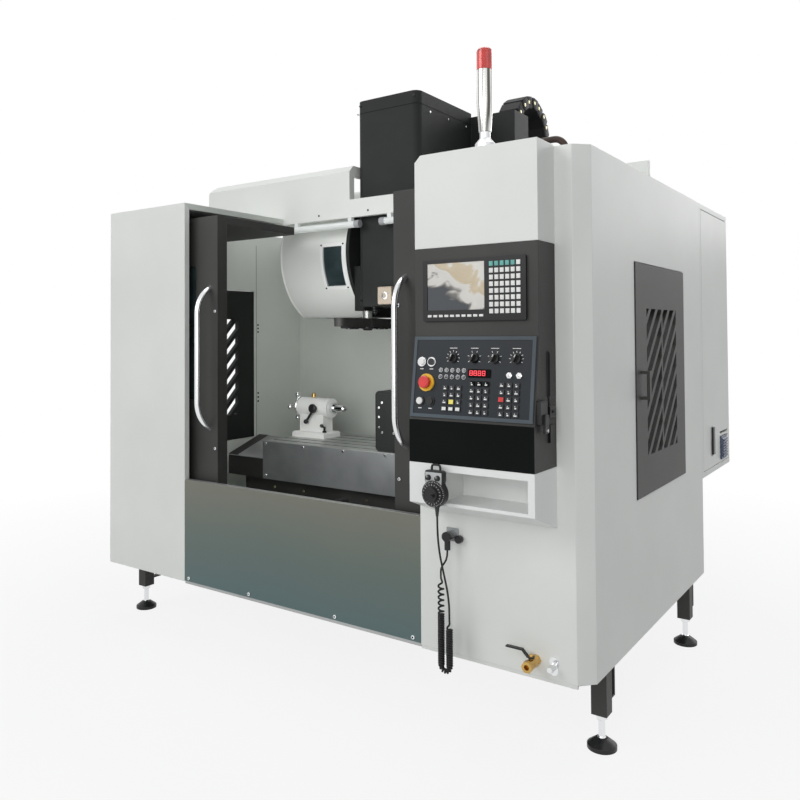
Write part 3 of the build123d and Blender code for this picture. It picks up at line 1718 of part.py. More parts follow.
with BuildPart() as operator_panel:
    with BuildSketch(slope_plane):
        Rectangle(frame_width, frame_height)
    extrude(amount=frame_thickness)
    with BuildSketch(field_plane):
        Rectangle(pad_width, pad_height)
    extrude(amount=pad_thickness, mode=Mode.SUBTRACT)
    with BuildSketch(field_plane):
        for u_share, v_share, columns, rows in key_blocks:
            with Locations((u_share * pad_width, v_share * pad_height)):
                with GridLocations(panel_key_pitch, panel_row_pitch, columns, rows):
                    Rectangle(panel_key_width, panel_key_height)
        with Locations((lamp_dot_shares[0] * pad_width, lamp_dot_shares[1] * pad_height)):
            with GridLocations(lamp_dot_pitch, lamp_dot_pitch, lamp_dot_columns, lamp_dot_rows):
                RegularPolygon(lamp_dot_radius, 6)
        with Locations((readout_shares[0] * pad_width, readout_shares[1] * pad_height)):
            Rectangle(readout_width, readout_height)
    extrude(amount=key_height + pad_thickness)
    with BuildSketch(field_plane):
        for u_share in selector_shares:
            with Locations((u_share * pad_width, selector_row_share * pad_height)):
                Circle(selector_radius)
    extrude(amount=selector_height)
    with BuildSketch(field_plane.offset(selector_height)):
        for u_share in selector_shares:
            with Locations((u_share * pad_width, selector_row_share * pad_height)):
                Rectangle(
                    selector_grip_width,
                    2 * selector_radius - selector_grip_width,
                    rotation=selector_turn,
                )
    extrude(amount=selector_grip_height)
    with BuildSketch(field_plane):
        for u_share, v_share in push_shares:
            with Locations((u_share * pad_width, v_share * pad_height)):
                Circle(push_rim_radius)
        for u_share, v_share in toggle_shares:
            with Locations((u_share * pad_width, v_share * pad_height)):
                RegularPolygon(toggle_nut_radius, 6)
    extrude(amount=push_rim_height)
    with BuildSketch(field_plane):
        for u_share, v_share in push_shares:
            with Locations((u_share * pad_width, v_share * pad_height)):
                Circle(push_radius)
    extrude(amount=push_height)
    with BuildSketch(field_plane):
        for u_share, v_share in toggle_shares:
            with Locations((u_share * pad_width, v_share * pad_height)):
                Circle(toggle_radius)
    extrude(amount=toggle_height)
    with BuildSketch(field_plane):
        with Locations(stop_place):
            Circle(stop_collar_radius)
    extrude(amount=stop_collar_height)
    with BuildSketch(field_plane.offset(stop_collar_height)):
        with Locations(stop_place):
            Circle(stop_neck_radius + fit)
    extrude(amount=-stop_neck_height + fit, mode=Mode.SUBTRACT)
operator_panel.part.label = "operator_panel"
export_step(operator_panel.part, "parts/operator_panel.step")

# Emergency stop: a mushroom head on a neck that runs in the collar
stop_seat = field_plane.offset(stop_collar_height - stop_neck_height + stop_travel + 2 * fit)

with BuildPart() as estop_button:
    with BuildSketch(stop_seat):
        with Locations(stop_place):
            Circle(stop_neck_radius)
    extrude(amount=stop_neck_height)
    with BuildSketch(stop_seat.offset(stop_neck_height)):
        with Locations(stop_place):
            Circle(stop_radius)
    extrude(amount=stop_height)
    stop_top = estop_button.faces().sort_by(Axis(slope_plane.origin, slope_plane.z_dir))[-1]
    chamfer(stop_top.edges(), stop_height / 4)
estop_button.part.label = "estop_button"
export_step(estop_button.part, "parts/estop_button.step")

# Storage shelf under the console: a box with a sloped belly and an open compartment beside the pendant
with BuildPart() as storage_shelf:
    with BuildSketch(across(console_left)):
        Polygon(
            (front_y, shelf_foot_height),
            (front_y, console_bottom),
            (console_y, console_bottom),
            (console_y, shelf_bottom),
            align=None,
        )
    extrude(amount=console_width)
    with BuildSketch(upright(console_y)):
        span(
            console_left + shelf_left_wall,
            console_right - shelf_wall,
            shelf_bottom + shelf_lip_height,
            console_bottom - shelf_wall,
        )
    extrude(amount=-shelf_depth, mode=Mode.SUBTRACT)
storage_shelf.part.label = "storage_shelf"
export_step(storage_shelf.part, "parts/storage_shelf.step")

# Hand pendant: a small box on the shelf's front with a hook loop, two knobs, the wheel's boss and a gland
pendant_x = right_x - pendant_middle_inset
pendant_top = pendant_bottom + pendant_height
pendant_face = console_y - pendant_thickness
pendant_wheel_z = pendant_bottom + pendant_wheel_height
pendant_knob_z = pendant_top - pendant_knob_drop
pendant_middle_y = console_y - pendant_thickness / 2

with BuildPart() as pendant_body:
    with BuildSketch(upright(console_y)):
        with Locations((pendant_x, (pendant_bottom + pendant_top) / 2)):
            RectangleRounded(pendant_width, pendant_height, pendant_radius)
    extrude(amount=pendant_thickness)
    with BuildSketch(upright(console_y)):
        with Locations((pendant_x, pendant_top + pendant_hook_height / 2)):
            Rectangle(pendant_hook_width, pendant_hook_height)
        with Locations((pendant_x, pendant_top + (pendant_hook_height - pendant_hook_bar) / 2)):
            Rectangle(
                pendant_hook_width - 2 * pendant_hook_bar,
                pendant_hook_height - pendant_hook_bar,
                mode=Mode.SUBTRACT,
            )
    extrude(amount=pendant_hook_bar)
    with BuildSketch(upright(pendant_face)):
        with Locations((pendant_x, pendant_knob_z)):
            with GridLocations(pendant_knob_spread, pendant_knob_spread, 2, 1):
                Circle(pendant_knob_radius)
    extrude(amount=pendant_knob_height)
    rod((pendant_x, pendant_face, pendant_wheel_z), (0, -1, 0), pendant_boss_radius, pendant_boss)
    rod((pendant_x, pendant_middle_y, pendant_bottom), (0, 0, -1), pendant_gland_radius, pendant_gland_length)
pendant_body.part.label = "pendant_body"
export_step(pendant_body.part, "parts/pendant_body.step")

# Wheel of the pendant: a disc with a crank knob
pendant_wheel_y = pendant_face - pendant_boss

with BuildPart() as pendant_wheel:
    rod(
        (pendant_x, pendant_wheel_y - fit, pendant_wheel_z),
        (0, -1, 0),
        pendant_wheel_radius,
        pendant_wheel_thickness - fit,
    )
    crank_y = pendant_wheel_y - pendant_wheel_thickness
    rod((pendant_x + crank_offset, crank_y, pendant_wheel_z), (0, -1, 0), crank_radius, crank_length)
pendant_wheel.part.label = "pendant_wheel"
export_step(pendant_wheel.part, "parts/pendant_wheel.step")

# Wall socket of the pendant: a flange, a round plug and an elbow that points down
socket_x = right_x - socket_inset
elbow_y = front_y - socket_length + socket_elbow_radius

with BuildPart() as pendant_socket:
    with BuildSketch(upright(front_y)):
        with Locations((socket_x, socket_height)):
            Rectangle(socket_flange, socket_flange)
    extrude(amount=socket_flange_thickness)
    rod((socket_x, front_y, socket_height), (0, -1, 0), socket_radius, socket_length)
    rod(
        (socket_x, elbow_y, socket_height),
        (0, 0, -1),
        socket_elbow_radius,
        socket_radius + socket_elbow_drop,
    )
pendant_socket.part.label = "pendant_socket"
export_step(pendant_socket.part, "parts/pendant_socket.step")

# Curly cord of the pendant: down from the socket's lead, round a bend and up to the pendant's lead
coil_x = right_x - coil_inset
coil_y = front_y - coil_reach

with BuildPart() as pendant_coil:
    with BuildLine(upright(coil_y)) as coil_path:
        coil_down = Line((coil_x, coil_top), (coil_x, coil_turn))
        coil_bend = JernArc(coil_down @ 1, coil_down % 1, coil_gap / 2, 180)
        Line(coil_bend @ 1, (coil_x + coil_gap, coil_end))
    with BuildSketch(Plane(origin=coil_path.line @ 0, z_dir=coil_path.line % 0)):
        Circle(coil_radius)
    sweep()
pendant_coil.part.label = "pendant_coil"
export_step(pendant_coil.part, "parts/pendant_coil.step")


def cord_tube(points):
    """A round lead along straight runs with arcs as large as they allow, in the part that is being built."""
    places = [Vector(*point) for point in points]
    radii = []
    for before, here, after in zip(places, places[1:], places[2:]):
        turn = math.radians((here - before).get_angle(after - here))
        shorter = min((here - before).length, (after - here).length)
        radii.append(arc_share * shorter / math.tan(turn / 2))
    with BuildLine(mode=Mode.PRIVATE) as route:
        FilletPolyline(*places, radius=radii)
    with BuildSketch(Plane(origin=route.line @ 0, z_dir=route.line % 0), mode=Mode.PRIVATE) as section:
        Circle(cord_radius)
    sweep(section.sketch, path=route.line)


# Straight leads: from the socket to the curly cord, and from there up to the pendant
lead_from_socket = [
    (socket_x, elbow_y, socket_height - socket_radius - socket_elbow_drop),
    (socket_x, elbow_y, 642),
    (coil_x, coil_y, 626),
    (coil_x, coil_y, coil_top),
]
lead_to_pendant = [
    (808, front_y - 82, coil_end),
    (808, front_y - 82, 490),
    (810, front_y - 96, 545),
    (815, front_y - 122, 598),
    (821, front_y - 150, 650),
    (827, front_y - 177, 702),
    (832, front_y - 196, 757),
    (pendant_x, pendant_middle_y, 810),
    (pendant_x, pendant_middle_y, pendant_bottom - pendant_gland_length),
]

with BuildPart() as pendant_leads:
    cord_tube(lead_from_socket)
    cord_tube(lead_to_pendant)
pendant_leads.part.label = "pendant_leads"
export_step(pendant_leads.part, "parts/pendant_leads.step")

# Signal lamp: a turned post in the shape of a bottle, and a domed lens on top
signal_x = right_x - signal_inset
signal_y = front_y - signal_reach
neck_top = header_top + signal_base_height + signal_neck_height
shoulder_top = neck_top + signal_shoulder_height
post_top = shoulder_top + signal_body_height

with BuildPart() as tower_lamp_post:
    with BuildSketch(upright(signal_y)):
        Polygon(
            (signal_x, header_top),
            (signal_x + signal_base_radius, header_top),
            (signal_x + signal_base_radius, header_top + signal_base_height / 2),
            (signal_x + signal_neck_radius, header_top + signal_base_height),
            (signal_x + signal_neck_radius, neck_top),
            (signal_x + signal_waist_radius, neck_top),
            (signal_x + signal_body_radius, shoulder_top),
            (signal_x + signal_lens_radius, post_top),
            (signal_x, post_top),
            align=None,
        )
    revolve(axis=Axis((signal_x, signal_y, 0), (0, 0, 1)))
tower_lamp_post.part.label = "tower_lamp_post"
export_step(tower_lamp_post.part, "parts/tower_lamp_post.step")

with BuildPart() as tower_lamp_lens:
    with BuildSketch(level(post_top)):
        with Locations((signal_x, signal_y)):
            Circle(signal_lens_radius)
    extrude(amount=signal_lens_height)
    fillet(tower_lamp_lens.faces().sort_by(Axis.Z)[-1].edges(), signal_dome)
tower_lamp_lens.part.label = "tower_lamp_lens"
export_step(tower_lamp_lens.part, "parts/tower_lamp_lens.step")

# Drain valve and hose barb, low on the right front wall
valve_x = right_x - valve_inset
valve_end = front_y - valve_length
stem_y = front_y - stem_setback
stem_top = valve_height + valve_radius + stem_height
barb_x = right_x - barb_inset
barb_pitch = (barb_length - barb_flange_thickness) / barb_ridges

with BuildPart() as coolant_fittings:
    rod((valve_x, front_y, valve_height), (0, -1, 0), valve_radius, valve_length)
    with BuildSketch(upright(front_y)):
        with Locations((valve_x, valve_height)):
            RegularPolygon(valve_hex / 2, 6)
    extrude(amount=valve_hex_length)
    with BuildSketch(upright(valve_end)):
        with Locations((valve_x, valve_height)):
            RegularPolygon(valve_hex / 2, 6)
    extrude(amount=-valve_hex_length)
    rod((valve_x, stem_y, valve_height), (0, 0, 1), stem_radius, stem_top - valve_height)
    rod((valve_x, valve_end, valve_height), (0, 1, 0), valve_bore, 2 * valve_hex_length, mode=Mode.SUBTRACT)
    with BuildSketch(upright(front_y)):
        with Locations((barb_x, barb_height)):
            SlotOverall(barb_flange_height, barb_flange_width, rotation=90)
    extrude(amount=barb_flange_thickness)
    for ridge in range(barb_ridges):
        ridge_y = front_y - barb_flange_thickness - ridge * barb_pitch
        with Locations(Plane(origin=(barb_x, ridge_y, barb_height), z_dir=(0, -1, 0))):
            Cone(
                barb_radius + barb_ridge,
                barb_radius,
                barb_pitch,
                align=(Align.CENTER, Align.CENTER, Align.MIN),
            )
coolant_fittings.part.label = "coolant_fittings"
export_step(coolant_fittings.part, "parts/coolant_fittings.step")

# Drain lever: a hub on the valve's stem and a bent flat bar, across the flow while the valve is shut
lever_bottom = valve_height + valve_radius + stem_height - lever_hub_radius
hub_end = valve_x - lever_hub_radius
lever_end = valve_x - lever_length

with BuildPart() as drain_lever:
    with BuildSketch(upright(stem_y + lever_width / 2)):
        Polygon(
            (valve_x, lever_bottom),
            (valve_x, lever_bottom + lever_thickness),
            (hub_end, lever_bottom + lever_thickness),
            (hub_end - lever_rise, lever_bottom + lever_thickness + lever_rise),
            (lever_end, lever_bottom + lever_thickness + lever_rise),
            (lever_end, lever_bottom + lever_rise),
            (hub_end - lever_rise, lever_bottom + lever_rise),
            (hub_end, lever_bottom),
            align=None,
        )
    extrude(amount=lever_width)
    rod((valve_x, stem_y, lever_bottom), (0, 0, 1), lever_hub_radius, lever_thickness)
    rod((valve_x, stem_y, lever_bottom), (0, 0, 1), stem_radius + fit, lever_hub_radius, mode=Mode.SUBTRACT)
drain_lever.part.label = "drain_lever"
export_step(drain_lever.part, "parts/drain_lever.step")

# Conduit on the roof behind the header, bent over between two nuts
conduit_x = right_x - conduit_inset
conduit_y = front_y + conduit_depth_in

with BuildPart() as roof_conduit:
    with BuildLine(upright(conduit_y)) as conduit_path:
        FilletPolyline(
            (conduit_x - conduit_span, wall_top),
            (conduit_x - conduit_span, wall_top + conduit_rise),
            (conduit_x, wall_top + conduit_rise),
            (conduit_x, wall_top),
            radius=conduit_bend,
        )
    with BuildSketch(Plane(origin=conduit_path.line @ 0, z_dir=conduit_path.line % 0)):
        Circle(conduit_radius)
    sweep()
    with BuildSketch(level(wall_top)):
        with Locations((conduit_x - conduit_span, conduit_y), (conduit_x, conduit_y)):
            RegularPolygon(conduit_nut_radius, 6)
    extrude(amount=conduit_nut_height)
roof_conduit.part.label = "roof_conduit"
export_step(roof_conduit.part, "parts/roof_conduit.step")
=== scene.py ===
"""Looks of the vertical milling machine: finishes, fittings, cord, light and camera round its solids."""

import json
import math

import bmesh
import bpy
from mathutils import Matrix, Vector


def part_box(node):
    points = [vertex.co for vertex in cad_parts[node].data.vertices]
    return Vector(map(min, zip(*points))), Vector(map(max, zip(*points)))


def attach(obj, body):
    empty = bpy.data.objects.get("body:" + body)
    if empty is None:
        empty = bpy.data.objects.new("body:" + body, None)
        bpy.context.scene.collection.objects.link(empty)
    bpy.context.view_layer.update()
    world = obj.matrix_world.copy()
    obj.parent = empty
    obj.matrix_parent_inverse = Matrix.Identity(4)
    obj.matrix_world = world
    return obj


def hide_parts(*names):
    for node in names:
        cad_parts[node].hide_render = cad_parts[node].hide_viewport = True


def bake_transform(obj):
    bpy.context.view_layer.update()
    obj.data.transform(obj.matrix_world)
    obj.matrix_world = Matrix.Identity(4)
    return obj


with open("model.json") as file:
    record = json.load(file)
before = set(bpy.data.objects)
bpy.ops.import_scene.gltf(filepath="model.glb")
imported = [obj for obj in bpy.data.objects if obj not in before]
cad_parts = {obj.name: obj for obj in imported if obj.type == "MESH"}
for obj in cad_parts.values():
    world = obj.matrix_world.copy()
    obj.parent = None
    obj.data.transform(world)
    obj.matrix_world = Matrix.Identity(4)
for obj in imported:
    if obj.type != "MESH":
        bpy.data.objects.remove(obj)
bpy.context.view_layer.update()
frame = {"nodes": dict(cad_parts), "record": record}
nodes = frame["nodes"]
scene = bpy.context.scene
FRONT = (0, -1, 0)
RIGHT = (1, 0, 0)
LEFT = (-1, 0, 0)
UP = (0, 0, 1)
DOWN = (0, 0, -1)


def add_object(name, data):
    made = bpy.data.objects.new(name, data)
    scene.collection.objects.link(made)
    return made


def full_turn(count):
    """Evenly spaced angles of a whole turn."""
    return [2 * math.pi * step / count for step in range(count)]


def dial_ways(turn, right, up):
    """Way beside and way out at an angle from the top of a dial."""
    right, up = Vector(right), Vector(up)
    return right * math.cos(turn) - up * math.sin(turn), right * math.sin(turn) + up * math.cos(turn)


# Camera at the place the photograph was taken from
CAMERA_PLACE = Vector((2.2384, -3.4441, 1.4645))
CAMERA_YAW = 0.6172
CAMERA_PITCH = 0.022
CAMERA_ROLL = -0.0056
FOCAL_PIXELS = 779.66
PRINCIPAL_POINT = (380.96, 317.01)
IMAGE_SIZE = 800
SENSOR = 36
VIEW_REACH = 100


def make_camera():
    view = Vector((
        -math.sin(CAMERA_YAW) * math.cos(CAMERA_PITCH),
        math.cos(CAMERA_YAW) * math.cos(CAMERA_PITCH),
        math.sin(CAMERA_PITCH),
    ))
    right = Vector((math.cos(CAMERA_YAW), math.sin(CAMERA_YAW), 0))
    up = right.cross(view)
    rolled_right = right * math.cos(CAMERA_ROLL) + up * math.sin(CAMERA_ROLL)
    rolled_up = up * math.cos(CAMERA_ROLL) - right * math.sin(CAMERA_ROLL)
    data = bpy.data.cameras.new("camera")
    data.sensor_width = SENSOR
    data.lens = SENSOR * FOCAL_PIXELS / IMAGE_SIZE
    data.shift_x = (IMAGE_SIZE / 2 - PRINCIPAL_POINT[0]) / IMAGE_SIZE
    data.shift_y = (PRINCIPAL_POINT[1] - IMAGE_SIZE / 2) / IMAGE_SIZE
    data.clip_end = VIEW_REACH
    camera = add_object("camera", data)
    camera.matrix_world = Matrix((
        (rolled_right.x, rolled_up.x, -view.x, CAMERA_PLACE.x),
        (rolled_right.y, rolled_up.y, -view.y, CAMERA_PLACE.y),
        (rolled_right.z, rolled_up.z, -view.z, CAMERA_PLACE.z),
        (0, 0, 0, 1),
    ))
    scene.camera = camera


make_camera()

# Handwheel cord: a lead from the socket, a curly length that hangs in a loop, and a lead up to the handwheel unit
SOCKET_LEAD = [(0.778, -0.976, 0.678), (0.778, -0.976, 0.642), (0.774, -1.017, 0.626), (0.774, -1.017, 0.59)]
COIL_ROUTE = [
    (0.774, -1.017, 0.59), (0.774, -1.017, 0.292), (0.774, -1.017, 0.258),
    (0.808, -1.017, 0.258), (0.808, -1.017, 0.292), (0.808, -1.017, 0.44),
]
PENDANT_LEAD = [
    (0.808, -1.017, 0.44), (0.808, -1.017, 0.49), (0.81, -1.031, 0.545), (0.815, -1.057, 0.598), (0.821, -1.085, 0.65),
    (0.827, -1.112, 0.702), (0.832, -1.131, 0.757), (0.834, -1.138, 0.81), (0.834, -1.138, 0.857),
]
CORD_DIAMETER = 0.007
HELIX_RADIUS = 0.0095
POINT_SPACING = 0.0042
FINE_STEP = 0.0002
LEAD_IN = 0.034
END_PITCH = 0.12
OPEN_PITCH = 0.02
CLOSE_PITCH = 0.0084
BEND_PITCH = 0.0092
BEND_RADIUS = 0.0064
BEND_BLEND = 0.012
OPEN_END = 0.463
BEND_START = 0.279


def spline_curve(name, points, radius=0.0):
    data = bpy.data.curves.new(name, "CURVE")
    data.dimensions = "3D"
    data.bevel_depth = 1.0 if radius else 0.0
    data.bevel_resolution = 4
    data.use_fill_caps = True
    spline = data.splines.new("NURBS")
    spline.points.add(len(points) - 1)
    for point, place in zip(spline.points, points):
        point.co = (*place, 1)
        point.radius = radius or 1.0
    spline.order_u = 3
    spline.use_endpoint_u = True
    return add_object(name, data)


def route_line(points):
    """Points along the smooth line of a route."""
    guide = spline_curve("guide", points)
    guide.data.resolution_u = 64
    line = bpy.data.meshes.new_from_object(guide)
    places = [vertex.co.copy() for vertex in line.vertices]
    bpy.data.objects.remove(guide)
    bpy.data.meshes.remove(line)
    return places


def helix(places):
    """Turns of a curly cord about a line in an upright plane facing the front, opening out smoothly at both ends."""
    lengths = [0.0]
    for first, second in zip(places, places[1:]):
        lengths.append(lengths[-1] + (second - first).length)
    whole = lengths[-1]
    across = Vector((0, 1, 0))
    made = []
    run = phase = travelled = 0.0
    step = 0
    while run < whole:
        while step < len(lengths) - 2 and lengths[step + 1] < run:
            step += 1
        share = (run - lengths[step]) / max(lengths[step + 1] - lengths[step], 1e-9)
        middle = places[step].lerp(places[step + 1], share)
        along = (places[step + 1] - places[step]).normalized()
        near_end = min(run, whole - run, LEAD_IN) / LEAD_IN
        open_share = near_end * near_end * (3 - 2 * near_end)
        bend = min(1.0, max(0.0, (BEND_START - middle.z) / BEND_BLEND))
        radius = (HELIX_RADIUS + (BEND_RADIUS - HELIX_RADIUS) * bend) * open_share
        if travelled >= POINT_SPACING:
            made.append(middle + (along.cross(across) * math.cos(phase) + across * math.sin(phase)) * radius)
            travelled -= POINT_SPACING
        if along.z < 0 and middle.z > OPEN_END:
            pitch = OPEN_PITCH
        else:
            pitch = CLOSE_PITCH + (BEND_PITCH - CLOSE_PITCH) * bend
        rise = (pitch + END_PITCH * (1 - open_share)) / (2 * math.pi)
        turn = FINE_STEP / math.hypot(radius, rise)
        phase += turn
        run += turn * rise
        travelled += FINE_STEP
    return made


curl = helix(route_line(COIL_ROUTE))
cord = spline_curve("handwheel_cord", SOCKET_LEAD + curl + PENDANT_LEAD, CORD_DIAMETER / 2)
cord.data.resolution_u = 3
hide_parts("pendant_coil", "pendant_leads")
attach(cord, "machine")


# Finishes
def new_material(name):
    material = bpy.data.materials.new(name)
    material.use_nodes = True
    tree = material.node_tree
    return material, tree, tree.nodes["Principled BSDF"]


def set_inputs(node, **values):
    """Sets sockets of a node by name, with underscores for spaces."""
    for socket, value in values.items():
        node.inputs[socket.replace("_", " ")].default_value = value


def add_node(tree, kind, **values):
    node = tree.nodes.new("ShaderNode" + kind)
    set_inputs(node, **values)
    return node


def link(source, target):
    source.id_data.links.new(source, target)


def object_place(tree):
    return add_node(tree, "TexCoord").outputs["Object"]


def noise(tree, scale, detail, stretch=None, distortion=0.0):
    """A noise fed by object coordinates, stretched along an axis where stretch is given."""
    source = object_place(tree)
    texture = add_node(tree, "TexNoise", Scale=scale, Detail=detail, Distortion=distortion)
    if stretch:
        mapping = add_node(tree, "Mapping", Scale=stretch)
        link(source, mapping.inputs["Vector"])
        source = mapping.outputs["Vector"]
    link(source, texture.inputs["Vector"])
    return texture.outputs["Fac"]


def axes(tree):
    """The object coordinates X, Y and Z."""
    split = add_node(tree, "SeparateXYZ")
    link(object_place(tree), split.inputs["Vector"])
    return split.outputs


def combine(operation, first, second):
    node = add_node(first.id_data, "Math")
    node.operation = operation
    link(first, node.inputs[0])
    link(second, node.inputs[1])
    return node.outputs[0]


def ramp(source, *stops):
    """A colour ramp through stops of (place, colour), driven by the source."""
    node = add_node(source.id_data, "ValToRGB")
    elements = node.color_ramp.elements
    while len(elements) < len(stops):
        elements.new(1.0)
    for element, (place, colour) in zip(elements, stops):
        element.position = place
        element.color = (*colour, 1)
    link(source, node.inputs["Fac"])
    return node.outputs["Color"]


def spread(source, low, high, first=0.0, last=1.0):
    """A number between two limits, driven by the source as it goes from first to last."""
    node = add_node(source.id_data, "MapRange", From_Min=first, From_Max=last, To_Min=low, To_Max=high)
    link(source, node.inputs["Value"])
    return node.outputs["Result"]


def bump(shader, source, strength, distance):
    node = add_node(source.id_data, "Bump", Strength=strength, Distance=distance)
    link(source, node.inputs["Height"])
    link(node.outputs["Normal"], shader.inputs["Normal"])


def dress(shader, colour, fine, rough):
    """Links a colour, and a roughness between two limits that follows a fine texture."""
    link(colour, shader.inputs["Base Color"])
    link(spread(fine, *rough), shader.inputs["Roughness"])


DARK_STOP = 0.32
LIGHT_STOP = 0.68


def tint(name, colour, drift, rough=(0.4, 0.55), metal=0.0, grain=700, depth=0.0004, strength=0.15,
         cloud=2.5, stretch=None, coat=0.0, glow=0.0, clear=0.0, shine=0.5):
    """A finish that drifts a share either side of one colour, with a fine grain in its gloss and relief."""
    material, tree, shader = new_material(name)
    dark = [part * (1 - drift) for part in colour]
    light = [min(1.0, part * (1 + drift)) for part in colour]
    tone = ramp(noise(tree, cloud, 5), (DARK_STOP, dark), (LIGHT_STOP, light))
    fine = noise(tree, grain, 3, stretch)
    dress(shader, tone, fine, rough)
    bump(shader, fine, strength, depth)
    set_inputs(shader, Metallic=metal, Coat_Weight=coat, Specular_IOR_Level=shine, Transmission_Weight=clear)
    if glow:
        link(tone, shader.inputs["Emission Color"])
        set_inputs(shader, Emission_Strength=glow)
    return material


PAINT = {"grain": 420, "strength": 0.12}
SMOOTH_PAINT = {"grain": 420, "strength": 0.1}
COARSE_COAT = {"grain": 900, "depth": 0.0008, "strength": 0.5}
PLATED = {"rough": (0.25, 0.4), "metal": 1.0, "grain": 500}
BRUSHED = (0.08, 1, 1)
white_paint = tint("white_paint", (0.74, 0.755, 0.725), 0.03, (0.34, 0.46), **PAINT)
# Interior paint: a darker copy of the white paint with a slight green tint, its darkness painted shade on the
# enclosure's inside walls.
wall_paint = tint("wall_paint", (0.65, 0.68, 0.635), 0.04, (0.4, 0.5), **PAINT)
cover_paint = tint("cover_paint", (0.73, 0.75, 0.715), 0.03, (0.3, 0.4), **SMOOTH_PAINT)
# A lighter copy of the white paint, painted light that brightens the storage shelf's shaded compartment; the changer's
# window frame and cover rims take it too.
bright_paint = tint("bright_paint", (0.8, 0.81, 0.795), 0.02, (0.3, 0.42), **SMOOTH_PAINT)
white_enamel = tint("white_enamel", (0.9, 0.91, 0.88), 0.02, (0.28, 0.4), grain=300)
black_coat = tint("black_coat", (0.027, 0.027, 0.025), 0.3, (0.42, 0.62), shine=0.4, **COARSE_COAT)
head_coat = tint("head_coat", (0.017, 0.019, 0.018), 0.25, (0.45, 0.62), shine=0.18, **COARSE_COAT)
black_satin = tint("black_satin", (0.013, 0.013, 0.014), 0.3, (0.3, 0.42), grain=600, strength=0.2, shine=0.35)
# Near-black; in screw sockets, the grip slot and the nose ring's bore it is painted shade.
black_deep = tint("black_deep", (0.004, 0.005, 0.005), 0.3, (0.5, 0.7), grain=500, strength=0.2, shine=0.06)
iron_paint = tint("iron_paint", (0.12, 0.13, 0.135), 0.18, (0.45, 0.6), grain=160, depth=0.001, strength=0.5)
ground_steel = tint("ground_steel", (0.44, 0.455, 0.435), 0.12, (0.26, 0.42), metal=0.7, grain=900, strength=0.2,
                    stretch=(0.05, 1, 1))
apron_steel = tint("apron_steel", (0.245, 0.255, 0.26), 0.2, (0.34, 0.5), metal=0.55, strength=0.2,
                   stretch=BRUSHED, cloud=4)
sheet_steel = tint("sheet_steel", (0.42, 0.43, 0.425), 0.12, (0.3, 0.45), metal=0.6, stretch=BRUSHED)
rail_steel = tint("rail_steel", (0.54, 0.55, 0.56), 0.1, (0.2, 0.32), metal=1.0, grain=900, strength=0.12,
                  stretch=(1, 1, 0.05))
chrome = tint("chrome", (0.8, 0.81, 0.82), 0.05, (0.07, 0.15), metal=1.0, grain=500, strength=0.03)
zinc = tint("zinc", (0.6, 0.61, 0.62), 0.12, **PLATED)
yellow_zinc = tint("yellow_zinc", (0.6, 0.53, 0.3), 0.15, **PLATED)
lemon_zinc = tint("lemon_zinc", (0.72, 0.66, 0.4), 0.15, (0.25, 0.4), metal=0.6, grain=500)
chain_black = tint("chain_black", (0.012, 0.013, 0.012), 0.3, (0.5, 0.68), grain=600, strength=0.2, shine=0.2)
brass = tint("brass", (0.62, 0.4, 0.13), 0.16, (0.18, 0.34), metal=1.0, grain=500, strength=0.2, cloud=20)
brown_hose = tint("brown_hose", (0.036, 0.022, 0.016), 0.35, (0.4, 0.6), grain=500, strength=0.3, cloud=14,
                  shine=0.3)
rubber = tint("rubber", (0.011, 0.011, 0.011), 0.3, (0.45, 0.65), strength=0.3, shine=0.3)
grey_plastic = tint("grey_plastic", (0.33, 0.34, 0.35), 0.1, strength=0.25)
pale_plastic = tint("pale_plastic", (0.46, 0.475, 0.475), 0.06, strength=0.25, cloud=30)
slate_plastic = tint("slate_plastic", (0.06, 0.078, 0.093), 0.2, (0.45, 0.6), grain=800, strength=0.4, shine=0.35)
field_plastic = tint("field_plastic", (0.014, 0.018, 0.023), 0.2, (0.35, 0.5), grain=800, strength=0.2, shine=0.25)
key_plastic = tint("key_plastic", (0.03, 0.032, 0.036), 0.2, grain=800, strength=0.2, shine=0.3)
white_plastic = tint("white_plastic", (0.8, 0.8, 0.78), 0.04, (0.3, 0.45), cloud=30)
teal_plastic = tint("teal_plastic", (0.13, 0.42, 0.38), 0.12, (0.35, 0.5), cloud=30)
beige_plastic = tint("beige_plastic", (0.44, 0.37, 0.29), 0.06, (0.35, 0.5), grain=600, strength=0.2, cloud=20)
yellow_plastic = tint("yellow_plastic", (0.85, 0.5, 0.03), 0.1, (0.3, 0.45), cloud=40)
lemon_plastic = tint("lemon_plastic", (0.85, 0.75, 0.15), 0.06, (0.3, 0.45), cloud=40)
red_plastic = tint("red_plastic", (0.72, 0.02, 0.02), 0.14, (0.22, 0.34), strength=0.1, cloud=40, coat=0.4)
red_digits = tint("red_digits", (0.9, 0.06, 0.08), 0.1, (0.3, 0.4), grain=500, strength=0.25, cloud=60, glow=0.9)
red_lens = tint("red_lens", (0.62, 0.03, 0.02), 0.25, (0.1, 0.2), grain=300, strength=0.1, cloud=25, clear=0.35,
                coat=0.6, glow=0.05)
dark_glass = tint("dark_glass", (0.03, 0.045, 0.048), 0.4, (0.06, 0.14), grain=120, strength=0.03, cloud=6,
                  coat=0.6)
tube_glow = tint("tube_glow", (0.68, 0.71, 0.69), 0.03, (0.3, 0.42), grain=300, strength=0.1, cloud=6, glow=0.12)
vent_blue = tint("vent_blue", (0.05, 0.07, 0.13), 0.2, strength=0.25)

# Heights between which the front sheet's painted reflection turns from its cool foot to its warm top.
STEEL_FOOT = 0.29
STEEL_TOP = 0.78


